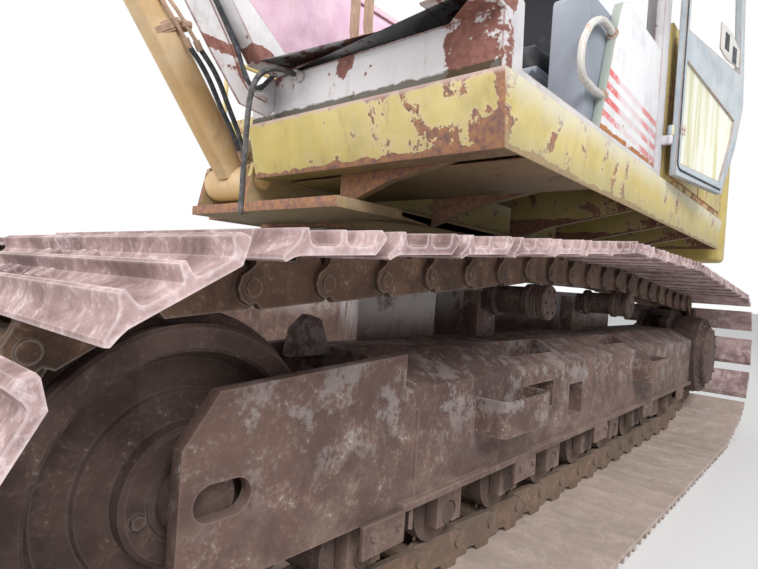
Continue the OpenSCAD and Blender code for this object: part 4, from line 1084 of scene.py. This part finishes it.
# %% Grab bar
BAR_Y = 1.452
bm = bmesh.new()
route = [(0.050, 2.030), (0.180, 2.042), (0.268, 2.012), (0.352, 1.940), (0.400, 1.830), (0.376, 1.762),
         (0.300, 1.744), (0.145, 1.744)]
add_pipe(bm, [(x, BAR_Y, z) for x, z in route], 0.015, sides=16, smooth=8)
for x, z in ((0.078, 2.032), (0.150, 1.744)):
    add_disc(bm, (x, BAR_Y, z), AHEAD, 0.026, 0.006, 20)
piece("grab_bar", bm, "upper", "white_paint", bar_paint, "grab_handle")

# %% [markdown]
# ## What the door carries
# On the leaf are a rubber seal along its front and lower edges, a latch plate with two slots
# and a ring pull. They are drawn on an unturned leaf and then turned with it about its hinge.
# The rails beside the hood and the boxes of the console keep the form of their solids.

# %% Door fittings
hang = Matrix.Translation(DOOR_AT) @ Matrix.Rotation(-DOOR_GAPE, 4, "Z")
FACE_Y = 0.031
bm = bmesh.new()
seal = [(-0.034, 0.0305, 3.02), (-0.034, 0.0305, 1.612), (-0.66, 0.0305, 1.600)]
add_pipe(bm, rounded(seal, 0.05, 5), 0.0075, sides=12, smooth=2)
for x, z in ((-0.60, 2.470), (-0.73, 2.430)):
    add_box(bm, (x - 0.035, 0.035, z - 0.05), (x + 0.035, 0.0385, z + 0.05), 0.001)
bmesh.ops.transform(bm, matrix=hang, verts=bm.verts)
piece("door_seal", bm, "cab_door", "hose_rubber", rubber)
bm = bmesh.new()
latch = [(-0.50, 2.40), (-0.50, 2.555), (-0.68, 2.545), (-0.82, 2.49), (-0.83, 2.375), (-0.60, 2.370)]
add_plate(bm, latch, FACE_Y, FACE_Y + 0.006, bevel=0.002)
for z in (1.80, 2.86):
    add_box(bm, (-0.10, FACE_Y, z), (-0.045, FACE_Y + 0.005, z + 0.05), 0.0015)
    for x in (-0.085, -0.060):
        add_bolt(bm, (x, 0.0355, z + 0.025), LEFT, 0.008, 0.003)
add_disc(bm, (-0.77, 0.037, 2.42), LEFT, 0.016, 0.0015, 24)
bmesh.ops.transform(bm, matrix=hang, verts=bm.verts)
piece("door_latch", bm, "cab_door", "door_paint", bar_paint)

# %% Rails and console
piece("rail_bars", copied("handrails"), "upper", "white_paint", rail_paint, "handrails")
f = Finish("console_plastic")
grain = f.noise(260, 3)
moulded = f.done(f.mix(f.noise(4, 6), (0.15, 0.17, 0.20), (0.30, 0.33, 0.38)), grain * 0.2 + 0.5, grain,
                 0.0004)
dressed("console_boxes", "console", 0.02, "upper", "console_plastic", moulded)

# %% [markdown]
# ## Travel levers
# The two travel levers are flat bars that lean forward from their foot plates and then stand
# up between the driver's knees. Each is one outline, extruded to the bar's thickness.

# %% Travel levers
LEVERS_Y = (0.722, 0.797)
KNOB = in_metres([(0, -50), (18, -45), (24, 0), (20, 45), (0, 55)])
bm = bmesh.new()
for y in LEVERS_Y:
    add_block(bm, 0.70, y, 0.10, 0.030, 1.589, 1.613, 0.004)
    for x in (0.63, 0.77):
        add_bolt(bm, (x, y, 1.612), UP, 0.012, 0.009)
    front = [(0.70, 1.613), (0.86, 1.84), (0.882, 1.90), (0.885, 2.16)]
    back = [(x + 0.040, z - 0.012 * (z < 1.9)) for x, z in front]
    add_plate(bm, front + back[::-1], y - 0.009, y + 0.009, bevel=0.003)
    add_block(bm, 0.885, y, 0.040, 0.022, 1.845, 1.868, 0.004)
    lathe(bm, KNOB, (0.905, y, 2.165), UP, 20)
piece("travel_levers", bm, "upper", "lever_rust", lever_rust, "levers")

# %% [markdown]
# ## The driver's seat
# A seat of this kind is a steel pan on a pedestal with two foam cushions in cloth covers. A
# foam cushion keeps its moulded form, so a rounded, crowned box with sewn channels shows it as
# well as a simulation, and comes out the same every time.

# %% Cushion
CUTS, ROUND_OFF, CHANNEL_WIDTH, CHANNEL_DEPTH = 14, 0.34, 0.045, 0.16


def cushion(name, size, place, channels):
    """A crowned closed form of a size, with channels sewn across it, moved by a matrix."""
    bm = bmesh.new()
    made = bmesh.ops.create_cube(bm, size=2.0)["verts"]
    edges = list(dict.fromkeys(e for v in made for e in v.link_edges))
    bmesh.ops.subdivide_edges(bm, edges=edges, cuts=CUTS, use_grid_fill=True)
    k = ROUND_OFF
    for v in bm.verts:
        x, y, z = v.co
        v.co = Vector((x * math.sqrt(1 - k * (y * y + z * z) + k * y * y * z * z),
                       y * math.sqrt(1 - k * (x * x + z * z) + k * x * x * z * z),
                       z * math.sqrt(1 - 0.5 * k * (x * x + y * y) + 0.3 * k * x * x * y * y)))
        if z > 0.2 and abs(y) < 0.9:
            v.co.z -= CHANNEL_DEPTH * sum(math.exp(-((x - c) / CHANNEL_WIDTH) ** 2) for c in channels)
        v.co = place @ (v.co * Vector(size) / 2)
    piece(name, bm, "upper", "seat_cloth", cloth, sharp=60)


f = Finish("seat_cloth")
weave = f.noise(420, 3)
worn = f.step(f.noise(7, 6) + f.edges(0.02) * 0.6, 0.48, 0.72)
cloth = f.done(f.mix(worn, (0.028, 0.030, 0.036), (0.12, 0.11, 0.11)), 0.92, weave, 0.0008)
print("cloth and cushion ready")

# %% Seat
SEAT_X, SEAT_Y, SEAT_Z = -0.06, 0.938, 1.5887
# Pedestal, foot plate, the seven folds of its boot and the pan: half sizes, heights, bevel
STACK = [(0.17, 0.14, 0.0, 0.27, 0.012), (0.20, 0.17, 0.004, 0.03, 0.006)]
STACK += [(0.182, 0.152, 0.055 + k * 0.03, 0.069 + k * 0.03, 0.005) for k in range(7)]
bm = bmesh.new()
for half_x, half_y, z0, z1, bevel in STACK:
    add_block(bm, SEAT_X, SEAT_Y, half_x, half_y, SEAT_Z + z0, SEAT_Z + z1, bevel)
for y in (-0.15, 0.15):
    add_block(bm, SEAT_X, SEAT_Y + y, 0.2, 0.018, SEAT_Z + 0.272, SEAT_Z + 0.3, 0.004)
add_block(bm, SEAT_X + 0.005, SEAT_Y, 0.245, 0.23, SEAT_Z + 0.302, SEAT_Z + 0.334, 0.008)
add_pipe(bm, [(SEAT_X + 0.10, SEAT_Y + 0.2, SEAT_Z + 0.30), (SEAT_X + 0.27, SEAT_Y + 0.21, SEAT_Z + 0.31)],
         0.008, smooth=2)
piece("seat_base", bm, "upper", "console_plastic", moulded, "seat")
flat = Matrix.Translation((SEAT_X + 0.008, SEAT_Y, SEAT_Z + 0.388))
cushion("seat_cushion", (0.54, 0.50, 0.115), flat, (-0.45, 0.0, 0.45))
lean = Matrix.Rotation(math.radians(-81), 4, "Y")
cushion("seat_back", (0.62, 0.47, 0.095), Matrix.Translation((SEAT_X - 0.255, SEAT_Y, SEAT_Z + 0.765)) @ lean,
        (-0.5, 0.0, 0.5))

# %% [markdown]
# ## Boom, arm, bucket and their cylinders
# The working gear is plain welded plate, and its solids have every edge where it should be. So
# softened copies do, and only the rods keep sharp edges: hard chrome is ground, not rounded.

# %% Boom, arm and bucket
for node, name, width in (("boom", "boom_beam", 0.008), ("arm", "arm_beam", 0.008),
                          ("rocker", "rocker_bars", 0.004), ("bucket_link", "link_bars", 0.004)):
    dressed(name, node, width, node, "yellow_paint", yellow)
dressed("bucket_shell", "bucket", 0.004, "bucket", "bucket_steel", bucket_rust)
f = Finish("rod_chrome")
smear = f.noise(6, 6)
chrome = f.done(f.mix(f.step(smear, 0.5, 0.7), (0.62, 0.62, 0.62), (0.38, 0.33, 0.28)), smear * 0.3 + 0.1,
                metal=1.0)
for node in ("lift_rod", "arm_rod", "bucket_rod"):
    piece(node + "_bar", copied(node), node, "rod_chrome", chrome, node)
for node in ("lift_barrel", "arm_barrel", "bucket_barrel"):
    dressed(node + "_tube", node, 0.004, node, "cylinder_paint", orange)

# %% [markdown]
# ## Pipework of the lift cylinder
# Oil reaches both ends of the cylinder through two steel tubes, held to the barrel by a clamp
# band, and through two short hoses with crimped ends at its foot. They lie close along the
# barrel and turn with it. They are bars along a few points, with a smooth curve between.

# %% Lift cylinder's pipework
FOOT, ALONG = Vector((0.92, 0, 1.34)), Vector((0.585, 0, 0.811))
BESIDE = 0.018
steel = bmesh.new()
at = FOOT + ALONG * 0.72
for r, half in ((0.084, 0.022), (0.088, 0.012)):
    lathe(steel, [(0.079, -half), (r, -half), (r, half), (0.079, half)], at, ALONG, 40)
add_box(steel, at + Vector((-0.075, 0.055, 0.0)), at + Vector((-0.035, 0.115, 0.03)), 0.004)
add_bolt(steel, at + Vector((-0.055, 0.115, 0.015)), LEFT, 0.011, 0.012)
for k in range(2):
    y, s = k * BESIDE, k * 0.04
    add_pipe(steel, [(1.430 - k * 0.03, 0.060 + y, 2.050), (1.400 - k * 0.033, 0.088 + y, 2.008),
                     (1.285 - s, 0.092 + y, 1.885)], 0.009, smooth=4)
    # Crimped ends of the hoses, above and below
    add_pipe(steel, [(1.285 - s, 0.094 + y, 1.885), (1.262 - s, 0.094 + y, 1.850)], 0.0145, smooth=1)
    add_pipe(steel, [(0.985 - s, 0.094 + y, 1.475), (0.962, 0.094 + y, 1.435)], 0.0145, smooth=1)
piece("lift_tubes", steel, "lift_barrel", "rod_chrome", lever_rust)
black = bmesh.new()
for k in range(2):
    y, s = k * BESIDE, k * 0.04
    add_pipe(black, [(1.270 - s, 0.094 + y, 1.865), (1.190 - s, 0.104 + y, 1.775),
                     (1.096 - s * 0.8, 0.104 + y, 1.634), (1.030 - s * 0.5, 0.100 + y, 1.545),
                     (0.978 - s * 0.2, 0.094 + y, 1.462)], 0.0115, sides=12, smooth=8)
piece("lift_hoses", black, "lift_barrel", "hose_rubber", rubber)

# %% [markdown]
# ## Light
# A plain studio: a pale floor and an even sky, with a broad soft lamp from the front left and
# a weaker one from the right, so that the rounded edges and the wear show. A small lamp that
# the camera doesn't see lights the inside of the cab. Surfaces get two thirds of the sky that
# the camera sees, which leaves the background white and the underside dark; the deck's
# underside has painted shade in its colour as well.

# %% Light
world = bpy.data.worlds.new("soft_sky")
bpy.context.scene.world = world
bpy.context.scene.view_settings.view_transform = "Standard"
world.use_nodes = True
tree = world.node_tree
background, ray = tree.nodes["Background"], tree.nodes.new("ShaderNodeLightPath")
seen = Signal(tree, ray.outputs["Is Camera Ray"]) + Signal(tree, ray.outputs["Is Glossy Ray"])
plug(tree, background.inputs["Color"], (1, 1, 1))
plug(tree, background.inputs["Strength"], seen.math("MINIMUM", 1.0) * 0.35 + 0.65)


def lamp(name, at, aim, size, watts):
    light = bpy.data.lights.new(name, "AREA")
    light.shape, light.size, light.energy = "DISK", size, watts
    turn = (Vector(aim) - Vector(at)).to_track_quat("-Z", "Y").to_matrix().to_4x4()
    holder = placed(name, light)
    holder.matrix_world = Matrix.Translation(at) @ turn
    return holder


lamp("key", (AXIS_X + 6, 9, 9), (AXIS_X + 1, 0, 1), 6, 1500)
lamp("fill", (AXIS_X + 9, -3, 3), (AXIS_X, 0, 1.2), 6, 500)
lamp("cab_fill", (AXIS_X + 0.35, 0.95, 2.75), (AXIS_X + 0.7, 0.45, 1.8), 0.5, 11).visible_camera = False
bm = bmesh.new()
bmesh.ops.create_grid(bm, x_segments=1, y_segments=1, size=80)
floor = placed("floor", as_mesh(bm, "floor"))
floor.data.materials.append(Finish("floor_paint").done((0.72, 0.72, 0.72), 0.95))
print("lamps and floor ready")
